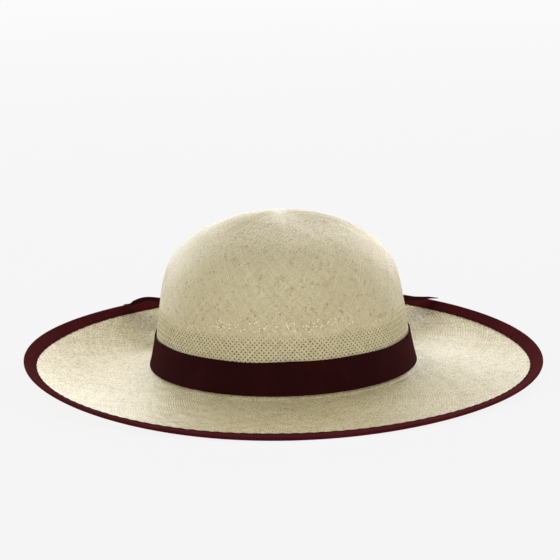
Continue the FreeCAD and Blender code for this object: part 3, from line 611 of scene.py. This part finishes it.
def make_crown(material):
    """The close-woven crown, a closed skin with an inside."""
    theta = ring_angles(COLUMNS)
    foot = station_of_height(CROWN_FOOT)
    stations, length = evenly_spaced(foot, CROWN_TIP, PITCH / 2)
    up = np.linspace(0, length, len(stations))
    t, s = np.meshgrid(theta, stations)
    sink = FOOT_SINK * (1 - np.clip(up / FOOT_RUN, 0, 1)[:, None]) ** 1.5
    wide = 1 - np.clip(np.linspace(0, 1, len(stations)) * 4 - 3, 0, 1)[:, None]
    outside = straw(t, s, sink - (checker(*t.shape, PILLOW) + lumps(t, s, CROWN_LUMPS, 3)) * wide)
    inner_stations = np.append(stations[::-1][::3], foot)
    t, s = np.meshgrid(theta, inner_stations)
    inside = straw(t, s, STRAW + 0 * t)
    v = np.concatenate([up, np.interp(-inner_stations, -stations, up)]) / PITCH
    u = theta / (2 * math.pi) * STRIPS
    crown = ring_mesh("straw_crown", np.concatenate([outside, inside]), u, v, material)
    close_top(crown, len(stations) - 1)
    return crown


def close_top(crown, row):
    """The outer and inner grids meet at the crown's top: fills both small holes with fans."""
    work = bmesh.new()
    work.from_mesh(crown.data)
    work.verts.ensure_lookup_table()
    first, second = row * COLUMNS, (row + 1) * COLUMNS
    bridge = [f for f in work.faces if {v.index // COLUMNS for v in f.verts} == {row, row + 1}]
    bmesh.ops.delete(work, geom=bridge, context="FACES_ONLY")
    work.verts.ensure_lookup_table()
    rings = [[work.verts[start + k] for k in range(COLUMNS)] for start in (first, second)]
    for start, ring in zip((first, second), rings):
        centre = work.verts.new(sum((vertex.co for vertex in ring), Vector()) / COLUMNS)
        for k in range(COLUMNS):
            pair = (ring[k], ring[(k + 1) % COLUMNS])
            corners = (pair[0], centre, pair[1]) if start == first else (pair[1], centre, pair[0])
            work.faces.new(corners).smooth = True
    bmesh.ops.recalc_face_normals(work, faces=work.faces)
    work.to_mesh(crown.data)
    work.free()


def open_strip(strip, family, v, stations, fill):
    """One strip of the openwork, as rings of its section's corners. v counts the cells along it."""
    stray = RNG.normal(0, OPEN_SHIFT) + OPEN_BEND * np.sin(v * RNG.uniform(0.5, 1.4) + RNG.uniform(0, 6))
    theta = (strip + family * v + stray) * 2 * math.pi / OPEN_STRIPS
    point, _, normal = surface(theta, stations)
    side = np.cross(normal, unit(np.gradient(point, axis=0)))
    half = (OPEN_SPACING * fill * RNG.uniform(0.95, 1.05) / 2)[:, None]
    sink = np.clip((v - v[-1]) * OPEN_PITCH / END_RUN + 1, 0, 1) ** 2 * END_SINK
    height = OPEN_SWING * family * np.cos(2 * math.pi * v) - OPEN_DEPTH - sink
    middle = point + normal * height[:, None]
    corners = [middle + side * half * out + normal * STRIP_THIN * up for out, up in STRIP_SECTION]
    return lift(np.stack(corners, 1))


def make_openwork(material):
    """Single strips, woven over and under with open gaps, between the band and the close weave."""
    cells_high = (OPENWORK_HIGH - OPENWORK_LOW) / OPEN_PITCH
    v = np.linspace(0, cells_high, int(round(cells_high * OPEN_STEPS)) + 1)
    heights = OPENWORK_LOW + v * OPEN_PITCH
    stations = np.array([station_of_height(height) for height in heights])
    fill = OPEN_FILL + (CLOSE_FILL - OPEN_FILL) * np.clip((heights - OPEN_TOP) / OPEN_FADE, 0, 1)
    points, faces, uvs = [], [], []
    for family in (1, -1):
        for strip in range(OPEN_STRIPS):
            tube = open_strip(strip, family, v, stations, fill)
            rows, columns = tube.shape[:2]
            first = len(points) * rows * columns
            points.append(tube.reshape(-1, 3))
            quads, cells = grid_faces(rows, columns)
            number = strip + (0.5 if family > 0 else OPEN_STRIPS + 0.5)
            along = v[np.minimum(cells[..., 0], rows - 1)]
            uvs.append(np.stack([np.full(along.shape, number), along], -1).reshape(-1, 2))
            faces.extend((quads + first).tolist())
            faces.append([first + k for k in range(columns)])
            faces.append([first + (rows - 1) * columns + k for k in reversed(range(columns))])
            uvs.append(np.full((2 * columns, 2), (number, 0.0)))
    return make_mesh("openwork_strips", np.concatenate(points), faces, np.concatenate(uvs), material)


def free_brim(station):
    """1 on the open brim, falling to 0 at the crown and at the rim."""
    return np.clip((station - TURN) * 2, 0, 1) * np.clip((RIM - station) * 12, 0, 1)


def make_brim(material):
    """The foot of the wall, the bend and the brim, closed round the rim and back underneath."""
    theta = ring_angles(2 * BRIM_STRIPS)
    top_stations, length = evenly_spaced(station_of_height(BRIM_FOOT), RIM - 0.002, BRIM_PITCH / 2)
    along = np.linspace(0, length, len(top_stations))
    t, s = np.meshgrid(theta, top_stations)
    top = straw(t, s, -(checker(*t.shape, BRIM_PILLOW) + lumps(t, s * 3, BRIM_LUMPS, 5)) * free_brim(s))
    corner = 0.3 * MM
    rim = np.stack([edge(theta, 0.05 * MM, depth) for depth in (corner, STRAW - corner)])
    under_stations = top_stations[::-1][::2]
    if under_stations[-1] != top_stations[0]:
        under_stations = np.append(under_stations, top_stations[0])
    t, s = np.meshgrid(theta, under_stations)
    relief = checker(*t.shape, UNDER_PILLOW) - lumps(t, s * 3, BRIM_LUMPS, 5)
    under = straw(t, s, STRAW + relief * free_brim(s))
    v = np.concatenate([along, [length, length], np.interp(under_stations, top_stations, along)])
    u = theta / (2 * math.pi) * BRIM_STRIPS
    return ring_mesh("straw_brim", np.concatenate([top, rim, under]), u, v / BRIM_PITCH, material)


# ---- ribbons round the hat

RIB = 0.92 * MM  # distance between the ribs of the grosgrain
BAND_RIB, BINDING_RIB, BOW_RIB = 0.035 * MM, 0.03 * MM, 0.025 * MM  # how far they go in and out
RIBBON = 0.4 * MM
BAND_LOW, BAND_HIGH, BAND_EXTRA = 87.6 * MM, 83.4 * MM, 17.6 * MM
BAND_SLOPE = math.atan((BAND_LOW - BAND_HIGH) / BAND_WIDTH)
BAND_RIBS = 650
BAND_RISE, BAND_FOOT = 0.7 * MM, 5 * MM  # its foot stands this much higher, fading out over this height
BAND_DIP = 0.7 * MM  # its upper edge dips this much away from the front and back
BAND_HOLLOW = 0.25 * MM
PLAY = 0.1 * MM


def in_and_out(count, depth):
    """The ribs of a ribbon: every second of its points lies out by the depth, the others in."""
    return ((np.arange(count) % 2) * 2 - 1) * depth


def make_band(material):
    theta = ring_angles(2 * BAND_RIBS)
    heights = np.array([0, 0.15, 0.6, 2, 5, 9, 13, 17, 20, 21.4, 21.85, 22]) * MM
    round_off = np.array([0.16, 0.05, 0, 0, 0, 0, 0, 0, 0, 0, 0.05, 0.16]) * MM
    rib = in_and_out(2 * BAND_RIBS, BAND_RIB)
    soft = 0.22 * MM * np.sin(5 * theta + 1.0) + 0.15 * MM * np.sin(11 * theta + 0.4)
    soft = soft - BAND_DIP * (1 - np.exp(-np.cos(theta) ** 2 / 0.1))
    rows = []

    def ring(height, outward):
        share = height / BAND_WIDTH
        half = BAND_LOW + (BAND_HIGH - BAND_LOW) * share + outward
        foot = BAND_RISE * max(0.0, 1 - height / BAND_FOOT)
        rows.append(oval(half, half + BAND_EXTRA, height + foot + soft * share, theta))

    for height, inset in zip(heights, round_off):
        ring(height, rib - inset - BAND_HOLLOW * math.sin(math.pi * height / BAND_WIDTH))
    for height, inset in zip(heights[::-1][::2], round_off[::-1][::2]):
        ring(height, inset - RIBBON + 0 * theta)
    v = np.concatenate([heights, heights[::-1][::2]]) / BAND_WIDTH
    return ring_mesh("band_ribbon", lift(np.stack(rows)), np.arange(2 * BAND_RIBS) / 2 + 0.25, v, material)


HEM = 7.85 * MM  # how far the binding covers the straw
FOLD = PLAY + 0.05 * MM + STRAW / 2  # how far outside the straw the fold's middle lies
BINDING_RIBS = 1200
PUCKERS = 126  # small puckers of its edge, all round


def make_binding(material):
    """Ribbon folded over the brim's edge, its edges drawn in a little at each stitch."""
    theta = ring_angles(2 * BINDING_RIBS)
    middle = STRAW / 2
    inner, outer_half = middle + PLAY, middle + PLAY + RIBBON
    rib = in_and_out(2 * BINDING_RIBS, BINDING_RIB)
    pucker = (0.28 * MM * np.abs(np.sin(theta * PUCKERS / 2))
              + 0.35 * MM * np.sin(theta * 7 + 1) * np.sin(theta * 3))
    puff = 0.12 * MM * np.sin(theta * PUCKERS)
    legs = np.array([0.0, 0.12, 0.5, 1.3, 2.4, 3.8, 5.2, 6.4, 7.3]) * MM
    swings = np.radians(np.linspace(90, -90, 9))
    rows = []

    def leg(distances, offset, sign):
        for distance in distances:
            share = distance / HEM
            outside = offset == outer_half
            drop = 0.14 * MM if outside and distance < 0.05 * MM else 0.0
            lift_off = (offset - drop + puff * (1 - share) * outside + rib) * sign
            outward = -(HEM + pucker) * (1 - share) - 0.3 * MM * share
            rows.append(edge(theta, outward, middle - lift_off))

    def fold_round(radius, angles):
        for angle in angles:
            rows.append(edge(theta, FOLD + radius * math.cos(angle),
                             middle - (radius + rib) * math.sin(angle)))

    leg(legs, outer_half, 1)
    fold_round(outer_half, swings)
    leg(legs[::-1], outer_half, -1)
    leg(legs[::3], inner, -1)
    fold_round(inner, swings[::-1][::2])
    leg(legs[::-1][::3], inner, 1)
    count = len(legs) * 2 + len(swings)
    v = np.concatenate([np.linspace(0, 1, count), np.linspace(1, 0, len(rows) - count)])
    return ring_mesh("binding_ribbon", np.stack(rows), np.arange(2 * BINDING_RIBS) / 2 + 0.25, v, material)


# ---- the bow

BOW_WIDTH = 21 * MM
GATHER = 0.62  # share of its width that a ribbon keeps at the knot
LOOP_LENGTH = 112 * MM
LOOP_PLEAT, LOOP_PINCH = 1.1 * MM, 13 * MM  # size of the pleats, and how far from the knot they run out
LOOP_CUP, LOOP_RISE = 0.5 * MM, 1.2 * MM
LOOP_ROUTE = np.array([(1.5, 2.4), (9, 3.0), (20, 2.5), (34, 0.9), (46, -1.0), (51.5, 0.2), (52.2, 3.0),
                       (49, 6.0), (38, 8.6), (24, 9.2), (12, 7.4), (1.5, 5.6)]) * MM
KNOT_WIDTH, KNOT_DEPTH, KNOT_HEIGHT = 14.5 * MM, 4.1 * MM, 9.6 * MM  # depth and height are halves
KNOT_GAP = 0.6 * MM
KNOT_POWER = 0.55  # the lower, the squarer the knot's section
TAIL_WIDTH = 20 * MM
TAIL_ROOT = np.array([1.0, 9.3]) * MM  # beside the bow's middle and out of it
TAIL_TIPS = {1: (111.0, 130.0, 12.45, 0.0), -1: (100.0, 136.0, 14.2, 4.2)}  # reach, back, rise, arch
TAIL_SWINGS = {1: 75.5, -1: 76.0}  # how far each turns over from upright
TAIL_CUT = math.radians(30)
TAIL_ARCH_PLACE = 0.85  # where along a tail its arch is highest
TAIL_PLEAT, TAIL_PINCH, TAIL_CURL = 0.8 * MM, 10 * MM, 0.25 * MM
UPWARD = np.array([0, 0, 1.0])


def bow_frame():
    """The bow's own frame at the back of the band: X along it, Y out of it, Z up it."""
    half = (BAND_LOW + BAND_HIGH) / 2
    place = Vector((0, half + BAND_EXTRA, HEAD_LINE + BAND_WIDTH / 2))
    return Matrix.Translation(place) @ Matrix.Rotation(BAND_SLOPE, 4, "X")


def through_bow(points):
    matrix = np.array(bow_frame())
    return points @ matrix[:3, :3].T + matrix[:3, 3]


def grid_normals(points):
    along = np.gradient(points, axis=0)
    across = np.gradient(points, axis=1)
    return unit(np.cross(along, across))


def bow_ribbon(name, middle, across, material):
    """A ribbon with thickness from a grid [along][across] of points on its middle surface."""
    rows, columns = middle.shape[:2]
    normal = grid_normals(middle)
    ribbed = middle + normal * in_and_out(rows, BOW_RIB)[:, None, None]
    loop = np.concatenate([ribbed + normal * RIBBON / 2, (ribbed - normal * RIBBON / 2)[:, ::-1]], axis=1)
    faces, cells = grid_faces(rows, 2 * columns)
    along, v = np.arange(rows) / 2 + 0.25, across + 0.5
    v_loop = np.concatenate([v, v[::-1], v[:1]])
    uv = np.stack([along[cells[..., 0]], v_loop[cells[..., 1]]], -1).reshape(-1, 2)
    ends = [(along[row], v[k]) for row in (0, rows - 1) for k in range(columns - 1)]
    faces = faces.tolist() + end_caps(rows, 2 * columns)
    return make_mesh(name, loop, faces, np.concatenate([uv, np.repeat(ends, 4, axis=0)]), material)


def smooth_path(points, count):
    """A smooth curve through a few points, sampled evenly (Catmull-Rom), and its length."""
    points = np.asarray(points, float)
    padded = np.vstack([2 * points[0] - points[1], points, 2 * points[-1] - points[-2]])
    t = np.linspace(0, 1, 40, endpoint=False)[:, None]
    pieces = []
    for k in range(len(points) - 1):
        a, b, c, d = padded[k:k + 4]
        pieces.append(0.5 * (2 * b + (c - a) * t + (2 * a - 5 * b + 4 * c - d) * t ** 2
                             + (3 * b - a - 3 * c + d) * t ** 3))
    curve = np.vstack(pieces + [points[-1:]])
    lengths = lengths_along(curve)
    even = np.linspace(0, lengths[-1], count)
    return np.stack([np.interp(even, lengths, curve[:, k]) for k in range(curve.shape[1])], -1), lengths[-1]


def make_loop(name, side, material):
    """Ribbon that runs out along the band, turns back on itself and is pinched at the knot."""
    route, length = smooth_path(LOOP_ROUTE, 2 * int(round(LOOP_LENGTH / RIB)) + 1)
    share = np.linspace(0, 1, len(route))[:, None]
    across = np.linspace(-0.5, 0.5, 15)
    reach, out = route[:, :1], route[:, 1:]
    far = reach / reach.max()
    open_up = GATHER + (1 - GATHER) * np.clip(far * 1.6, 0, 1) ** 0.8
    pleat = LOOP_PLEAT * np.exp(-(reach / LOOP_PINCH) ** 2) * np.cos(across * 2 * math.pi * 1.5)
    cup = LOOP_CUP * np.sin(math.pi * share) * (4 * across ** 2 - 0.5)
    x = side * reach + 0 * across
    z = across * BOW_WIDTH * open_up + LOOP_RISE * far ** 2
    middle = through_bow(np.stack([x, out + pleat + cup, z], -1))
    return bow_ribbon(name, middle, across, material), length


def make_knot(material):
    """Ribbon wrapped round the bow's middle, gathered into soft pleats."""
    around, across = 96, 25
    angle = np.linspace(0, 2 * math.pi, around, endpoint=False)[:, None]
    x = np.linspace(-0.5, 0.5, across)
    y = KNOT_DEPTH * np.sign(np.cos(angle)) * np.abs(np.cos(angle)) ** KNOT_POWER
    z = KNOT_HEIGHT * np.sign(np.sin(angle)) * np.abs(np.sin(angle)) ** KNOT_POWER
    gathers = (1 + 0.10 * (2 * x) ** 2) * (1 + 0.035 * np.cos(x * 2 * math.pi * 3 + 0.6))
    wide = x * KNOT_WIDTH * (1 + 0.03 * np.sin(angle))
    centre = KNOT_DEPTH + KNOT_GAP
    outside = through_bow(np.stack([wide, y * gathers + centre, z * gathers], -1))
    inside = through_bow(np.stack([wide, y * gathers * 0.88 + centre, z * gathers * 0.95], -1))
    ring = np.concatenate([outside.transpose(1, 0, 2), inside.transpose(1, 0, 2)[::-1]])
    v = np.concatenate([x, x[::-1]]) + 0.5
    return ring_mesh("knot_ribbon", ring, np.arange(around) * 0.7, v, material)


def make_tail(name, side, material):
    """Free end of the ribbon: upright at the knot, turning over, cut slantwise above the rim."""
    root = through_bow(np.array([side * TAIL_ROOT[0], TAIL_ROOT[1], 0.0]))
    reach, back, rise, arch = np.array(TAIL_TIPS[side]) * MM
    tip = np.array([side * reach, back, rise + HEAD_LINE])
    length = float(np.linalg.norm(tip - root))
    across = np.linspace(-0.5, 0.5, 13)
    share = np.linspace(0, 1, 2 * int(round(length / RIB)) + 1)[:, None]
    share = share * (1 - math.tan(TAIL_CUT) * TAIL_WIDTH / length * across)
    swing = np.radians(TAIL_SWINGS[side]) * np.clip(3 * share ** 2 - 2 * share ** 3, 0, 1)
    outward = unit(np.cross(UPWARD, tip - root) * side)
    width = UPWARD * np.cos(swing)[..., None] - outward * np.sin(swing)[..., None]
    lateness = math.log(0.5) / math.log(TAIL_ARCH_PLACE)
    lifted = arch * np.sin(math.pi * np.clip(share, 0, 1) ** lateness) ** 2
    curl = TAIL_CURL * np.sin(share * 9 + side) * share
    centre = root + (tip - root) * share[..., None] + UPWARD * (lifted + curl)[..., None]
    open_up = GATHER + (1 - GATHER) * np.clip(share * 5, 0, 1)
    middle = centre + width * (across * TAIL_WIDTH * open_up)[..., None]
    pleat = TAIL_PLEAT * np.exp(-(share * length / TAIL_PINCH) ** 2) * np.cos(across * 9)
    middle = middle + grid_normals(middle) * pleat[..., None]
    return bow_ribbon(name, middle, across, material), length


# ---- inside the crown

SWEAT_LOW, SWEAT_BASE, SWEAT_THICK = 83.3 * MM, 0.8 * MM, 1.0 * MM
SWEAT_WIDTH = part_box("sweatband")[1][2] - HEAD_LINE - SWEAT_BASE
SEAM_GAP = 0.6 * MM  # half the gap between its ends at the back
SWEAT_EDGE = 0.3 * MM  # how far its edges are rounded


def sweat_point(theta, height, depth):
    """Points of the sweatband at a height, depth in from its outside."""
    lean = LEAN + 0.3 * MM / SWEAT_WIDTH
    half = SWEAT_LOW - lean * (height - SWEAT_BASE)
    return oval(half - depth, half * OVAL - depth, height, theta)


def make_sweatband(material, shaded_reverse):
    """Leather strip, open at its seam at the back, its upper edge a little wavy."""
    gap = SEAM_GAP / SWEAT_LOW
    theta = np.linspace(math.pi / 2 + gap, math.pi / 2 + 2 * math.pi - gap, 361)
    wavy = 0.35 * MM * np.sin(theta * 9) + 0.2 * MM * np.sin(theta * 23 + 1)
    outside, inside = [], []
    for share in 0.5 - 0.5 * np.cos(np.linspace(0, 1, 13) * math.pi):
        height = SWEAT_BASE + SWEAT_WIDTH * share + wavy * share ** 3 - SWEAT_EDGE * share
        bulge = 0.45 * MM * math.sin(share * math.pi) + (0.25 * MM + wavy * 0.6) * share ** 4
        round_in = SWEAT_EDGE if share in (0.0, 1.0) else 0.0
        outside.append(sweat_point(theta, height, bulge + round_in))
        inside.append(sweat_point(theta, height, bulge + SWEAT_THICK * 0.9 - round_in))
    points = lift(np.stack(outside + inside[::-1], axis=1))
    faces, cells = grid_faces(len(theta), 2 * len(outside))
    faces = faces.tolist() + end_caps(len(theta), 2 * len(outside))
    band = make_mesh("sweatband_leather", points, faces, None, material)
    # The reverse, which faces the straw, takes a copy of the leather painted dark: painted shade.
    band.data.materials.append(shaded_reverse)
    on_reverse = np.zeros(len(faces), dtype=np.int32)
    on_reverse[:len(cells)] = cells[:, 0, 1] < len(outside) - 1
    band.data.polygons.foreach_set("material_index", on_reverse)
    return band


# ---- stitches

THREAD, THREAD_RISE = 0.14 * MM, 0.10 * MM  # half the thread's thickness, and how it stands up
THREAD_SIDES = 6
THREAD_SHARES, THREAD_RISES = (0.0, 0.12, 0.5, 0.88, 1.0), (-1.0, 0.2, 1.0, 0.2, -1.0)
BINDING_STITCHES, STITCH_SHARE = 340, 0.66  # round the hat, and how much of the seam each covers
STITCH_INSET = 1.6 * MM  # from the binding's inner edge to its stitches
SWEAT_STITCHES = 300
ZIG, ZAG = 3.0 * MM, 1.3 * MM  # heights between which the sweatband's stitches run


def thread_rings(start, end, normal):
    """Rings of a short thread that dives into the cloth at both ends."""
    side = np.cross(normal, unit(end - start))
    angles = ring_angles(THREAD_SIDES)
    spokes = np.cos(angles)[:, None] * side + np.sin(angles)[:, None] * normal
    rings = []
    for share, rise in zip(THREAD_SHARES, THREAD_RISES):
        thin = THREAD * (0.75 if share in (0.0, 1.0) else 1.0)
        rings.append(start + (end - start) * share + normal * (rise * THREAD_RISE) + thin * spokes)
    return rings


def make_stitches(name, stitches, material):
    """One mesh of many short threads, each given as (start, end, normal)."""
    points, faces = [], []
    for stitch in stitches:
        first = len(points) * THREAD_SIDES
        rings = thread_rings(*stitch)
        points.extend(rings)
        faces.extend((grid_faces(len(rings), THREAD_SIDES)[0][:, ::-1] + first).tolist())
        faces.append([first + k for k in reversed(range(THREAD_SIDES))])
        last = first + (len(rings) - 1) * THREAD_SIDES
        faces.append([last + k for k in range(THREAD_SIDES)])
    return make_mesh(name, above_floor(np.array(points)), faces, None, material)


def binding_stitches(side):
    """Running stitch round the binding, on its top for side 1 and under it for -1."""
    depth = STRAW / 2 - side * (STRAW / 2 + PLAY + RIBBON + 0.02 * MM)
    stitches = []
    for angle in ring_angles(BINDING_STITCHES):
        ends = np.array([angle, angle + STITCH_SHARE * 2 * math.pi / BINDING_STITCHES])
        start, end = edge(ends, STITCH_INSET - HEM, depth)
        normal = surface(ends[:1], RIM - 0.08)[2][0]
        stitches.append((start, end, normal * side))
    return stitches


def sweat_stitches():
    """Zigzag stitch that joins the sweatband's lower edge to the tape."""
    stitches = []
    for k in range(SWEAT_STITCHES):
        heights = (ZAG, ZIG) if k % 2 else (ZIG, ZAG)
        angles = math.pi / 2 + 0.012 + (2 * math.pi - 0.024) * np.array([k, k + 0.92]) / SWEAT_STITCHES
        start, end = [lift(sweat_point(angle, height, SWEAT_THICK + 0.12 * MM))
                      for angle, height in zip(angles, heights)]
        inward = unit(np.array([-math.cos(angles[0]) * OVAL, -math.sin(angles[0]), 0]))
        stitches.append((start, end, inward))
    return stitches


# ---- stage

WHITE = (1, 1, 1, 1)
FLOOR_DARK, FLOOR_PALE = (0.040, 0.040, 0.040, 1), (0.044, 0.044, 0.044, 1)
FLOOR_GLOW = 0.875  # the floor is a pale sheet lit from below: its shadows are weak
FLOOR_HALF_WIDTH = 4.0
FLOOR_PROFILE = [(-3.0, 0.0), (2.2, 0.0), (2.8, 0.06), (3.3, 0.3), (3.6, 0.8), (3.7, 1.6), (3.7, 3.5)]
SKY_TOP, SKY_BACK, SKY_FRONT = 0.76, 0.59, 1.08
SKY_LOW, SKY_HIGH = 0.3, 0.85  # between these the light fades to the tent's top
BEHIND_PLACE, BEHIND_TARGET = Vector((0, 2.3, 0.72)), Vector((0, 0, 0.05))
BEHIND_SIZE, BEHIND_POWER = (4.4, 1.3), 46


def make_stage():
    """A pale floor that curves up far behind the hat."""
    path, _ = smooth_path(FLOOR_PROFILE, 60)
    path[:, 1] = np.maximum(path[:, 1], 0.0)
    points = [(x, y, z) for y, z in path for x in (-FLOOR_HALF_WIDTH, FLOOR_HALF_WIDTH)]
    faces = [(2 * k, 2 * k + 1, 2 * k + 3, 2 * k + 2) for k in range(len(path) - 1)]
    n = new_material("pale_floor")
    colour = n.mix(n.noise(n.place(), 3.0), FLOOR_DARK, FLOOR_PALE)
    material = n.finish(Base_Color=colour, Roughness=0.9, Specular_IOR_Level=0.0,
                        Emission_Color=WHITE, Emission_Strength=FLOOR_GLOW)
    make_mesh("floor", np.array(points), faces, None, material)


def make_lights():
    """A studio tent, bright low down and dim overhead, and one large lamp behind the hat."""
    n = Nodes(bpy.data.worlds.new("studio"), "Background")
    _, y, z = n.split(n.node("TexCoord", {}, "Generated"))
    low = n.node("MapRange", {"Value": y, "From Min": -1.0, "From Max": 1.0,
                              "To Min": SKY_FRONT, "To Max": SKY_BACK})
    up = n.node("MapRange", {"Value": z, "From Min": SKY_LOW, "From Max": SKY_HIGH})
    bpy.context.scene.world = n.finish(Color=WHITE, Strength=n.blend(up, low, SKY_TOP))
    lamp = bpy.data.objects.new("behind", bpy.data.lights.new("behind", "AREA"))
    lamp.data.shape, lamp.data.energy = "RECTANGLE", BEHIND_POWER
    lamp.data.size, lamp.data.size_y = BEHIND_SIZE
    lamp.location = BEHIND_PLACE
    lamp.rotation_euler = (BEHIND_TARGET - lamp.location).to_track_quat("-Z", "Y").to_euler()
    bpy.context.scene.collection.objects.link(lamp)


# The camera stands before the middle of the head opening's oval, a little above it.
VIEW_DISTANCE = 2.4
VIEW_PITCH = math.radians(12.51)
VIEW_YAW = math.radians(2.5)
VIEW_ROLL = math.radians(1.62)
SENSOR = 36
FOCAL = 6.5316  # focal length over the picture's width
AIM_UP, AIM_LEFT = 0.022254, 0.000902  # slopes of the aim, which lies above and left of that middle


def make_camera():
    matrix = Matrix.Translation((0, 0, HEAD_LINE))
    for axis, angle in (("Z", -VIEW_YAW), ("X", math.pi / 2 - VIEW_PITCH), ("Z", -VIEW_ROLL)):
        matrix = matrix @ Matrix.Rotation(angle, 4, axis)
    matrix = matrix @ Matrix.Translation((0, 0, VIEW_DISTANCE))
    for axis, slope in (("Y", AIM_LEFT), ("X", AIM_UP)):
        matrix = matrix @ Matrix.Rotation(math.atan(slope), 4, axis)
    camera = bpy.data.objects.new("camera", bpy.data.cameras.new("camera"))
    camera.data.sensor_width = SENSOR
    camera.data.lens = SENSOR * FOCAL
    camera.data.clip_end = 50
    camera.matrix_world = matrix
    bpy.context.scene.collection.objects.link(camera)
    bpy.context.scene.camera = camera


# ---- putting it together

def add(piece, slot, *nodes):
    """The piece moves with the hat and stands for CAD nodes, which it hides. The slot argument is not used.
    """
    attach(piece, "root")
    if nodes:
        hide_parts(*nodes)
    return piece


def finish_nodes(material, *nodes):
    for node in nodes:
        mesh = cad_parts[node].data
        mesh.materials.clear()
        mesh.materials.append(material)


def add_straw():
    add(make_crown(straw_material("crown_straw", crown=True)), "straw", "straw_body")
    add(make_openwork(strip_material()), "straw", "straw_body")
    # The brim's straw is painted lighter than the crown's, as painted light.
    material = straw_material("brim_straw", contrast=1.2, specks=0.56, shade=1.05)
    add(make_brim(material), "straw", "straw_body")


def add_ribbons():
    grosgrain = grosgrain_material("grosgrain", BURGUNDY)
    band = add(make_band(grosgrain), "ribbon", "hat_band")
    # The binding's ribbon is painted brighter than the band's, as painted light.
    binding = make_binding(grosgrain_material("binding_grosgrain", BRIGHT_BURGUNDY))
    add(binding, "ribbon", "edge_binding")
    for name, side in (("left", 1), ("right", -1)):
        loop, length = make_loop(f"loop_ribbon_{name}", side, grosgrain)
        add(loop, "ribbon", f"bow_loop_{name}")
        tail, length = make_tail(f"tail_ribbon_{name}", side, grosgrain)
        add(tail, "ribbon", f"bow_tail_{name}")
    knot = add(make_knot(grosgrain), "ribbon", "bow_knot")


def add_inside():
    """The sweatband, and better materials for the CAD nodes that stay."""
    leather = leather_material("sweatband_leather", 1.0)
    # The reverse's leather is painted at 0.16 of the leather's brightness, as painted shade behind the
    # openwork.
    add(make_sweatband(leather, leather_material("leather_reverse_painted_shade", 0.16)), "leather", "sweatband")
    finish_nodes(cloth_material("pale_tape", TAPE), "reed_tape", "sweatband_bow")
    finish_nodes(cloth_material("label_cloth", LABEL), "size_label")
    finish_nodes(plastic_material(), "reed")
    finish_nodes(metal_material(), "brim_wire", "wire_sleeve")


def add_stitches():
    dark_thread = cloth_material("burgundy_thread", DARK_THREAD)
    finish_nodes(dark_thread, "band_tacks")
    for name, side in (("top", 1), ("under", -1)):
        add(make_stitches(f"binding_stitches_{name}", binding_stitches(side), dark_thread), "thread")
    pale_thread = cloth_material("pale_thread", PALE_THREAD)
    add(make_stitches("sweatband_stitches", sweat_stitches(), pale_thread), "tape")


def main():
    view = bpy.context.scene.view_settings
    view.view_transform, view.look, view.exposure, view.gamma = "Standard", "None", 0.0, 1.0
    make_camera()
    make_lights()
    make_stage()
    add_straw()
    add_ribbons()
    add_inside()
    add_stitches()


main()
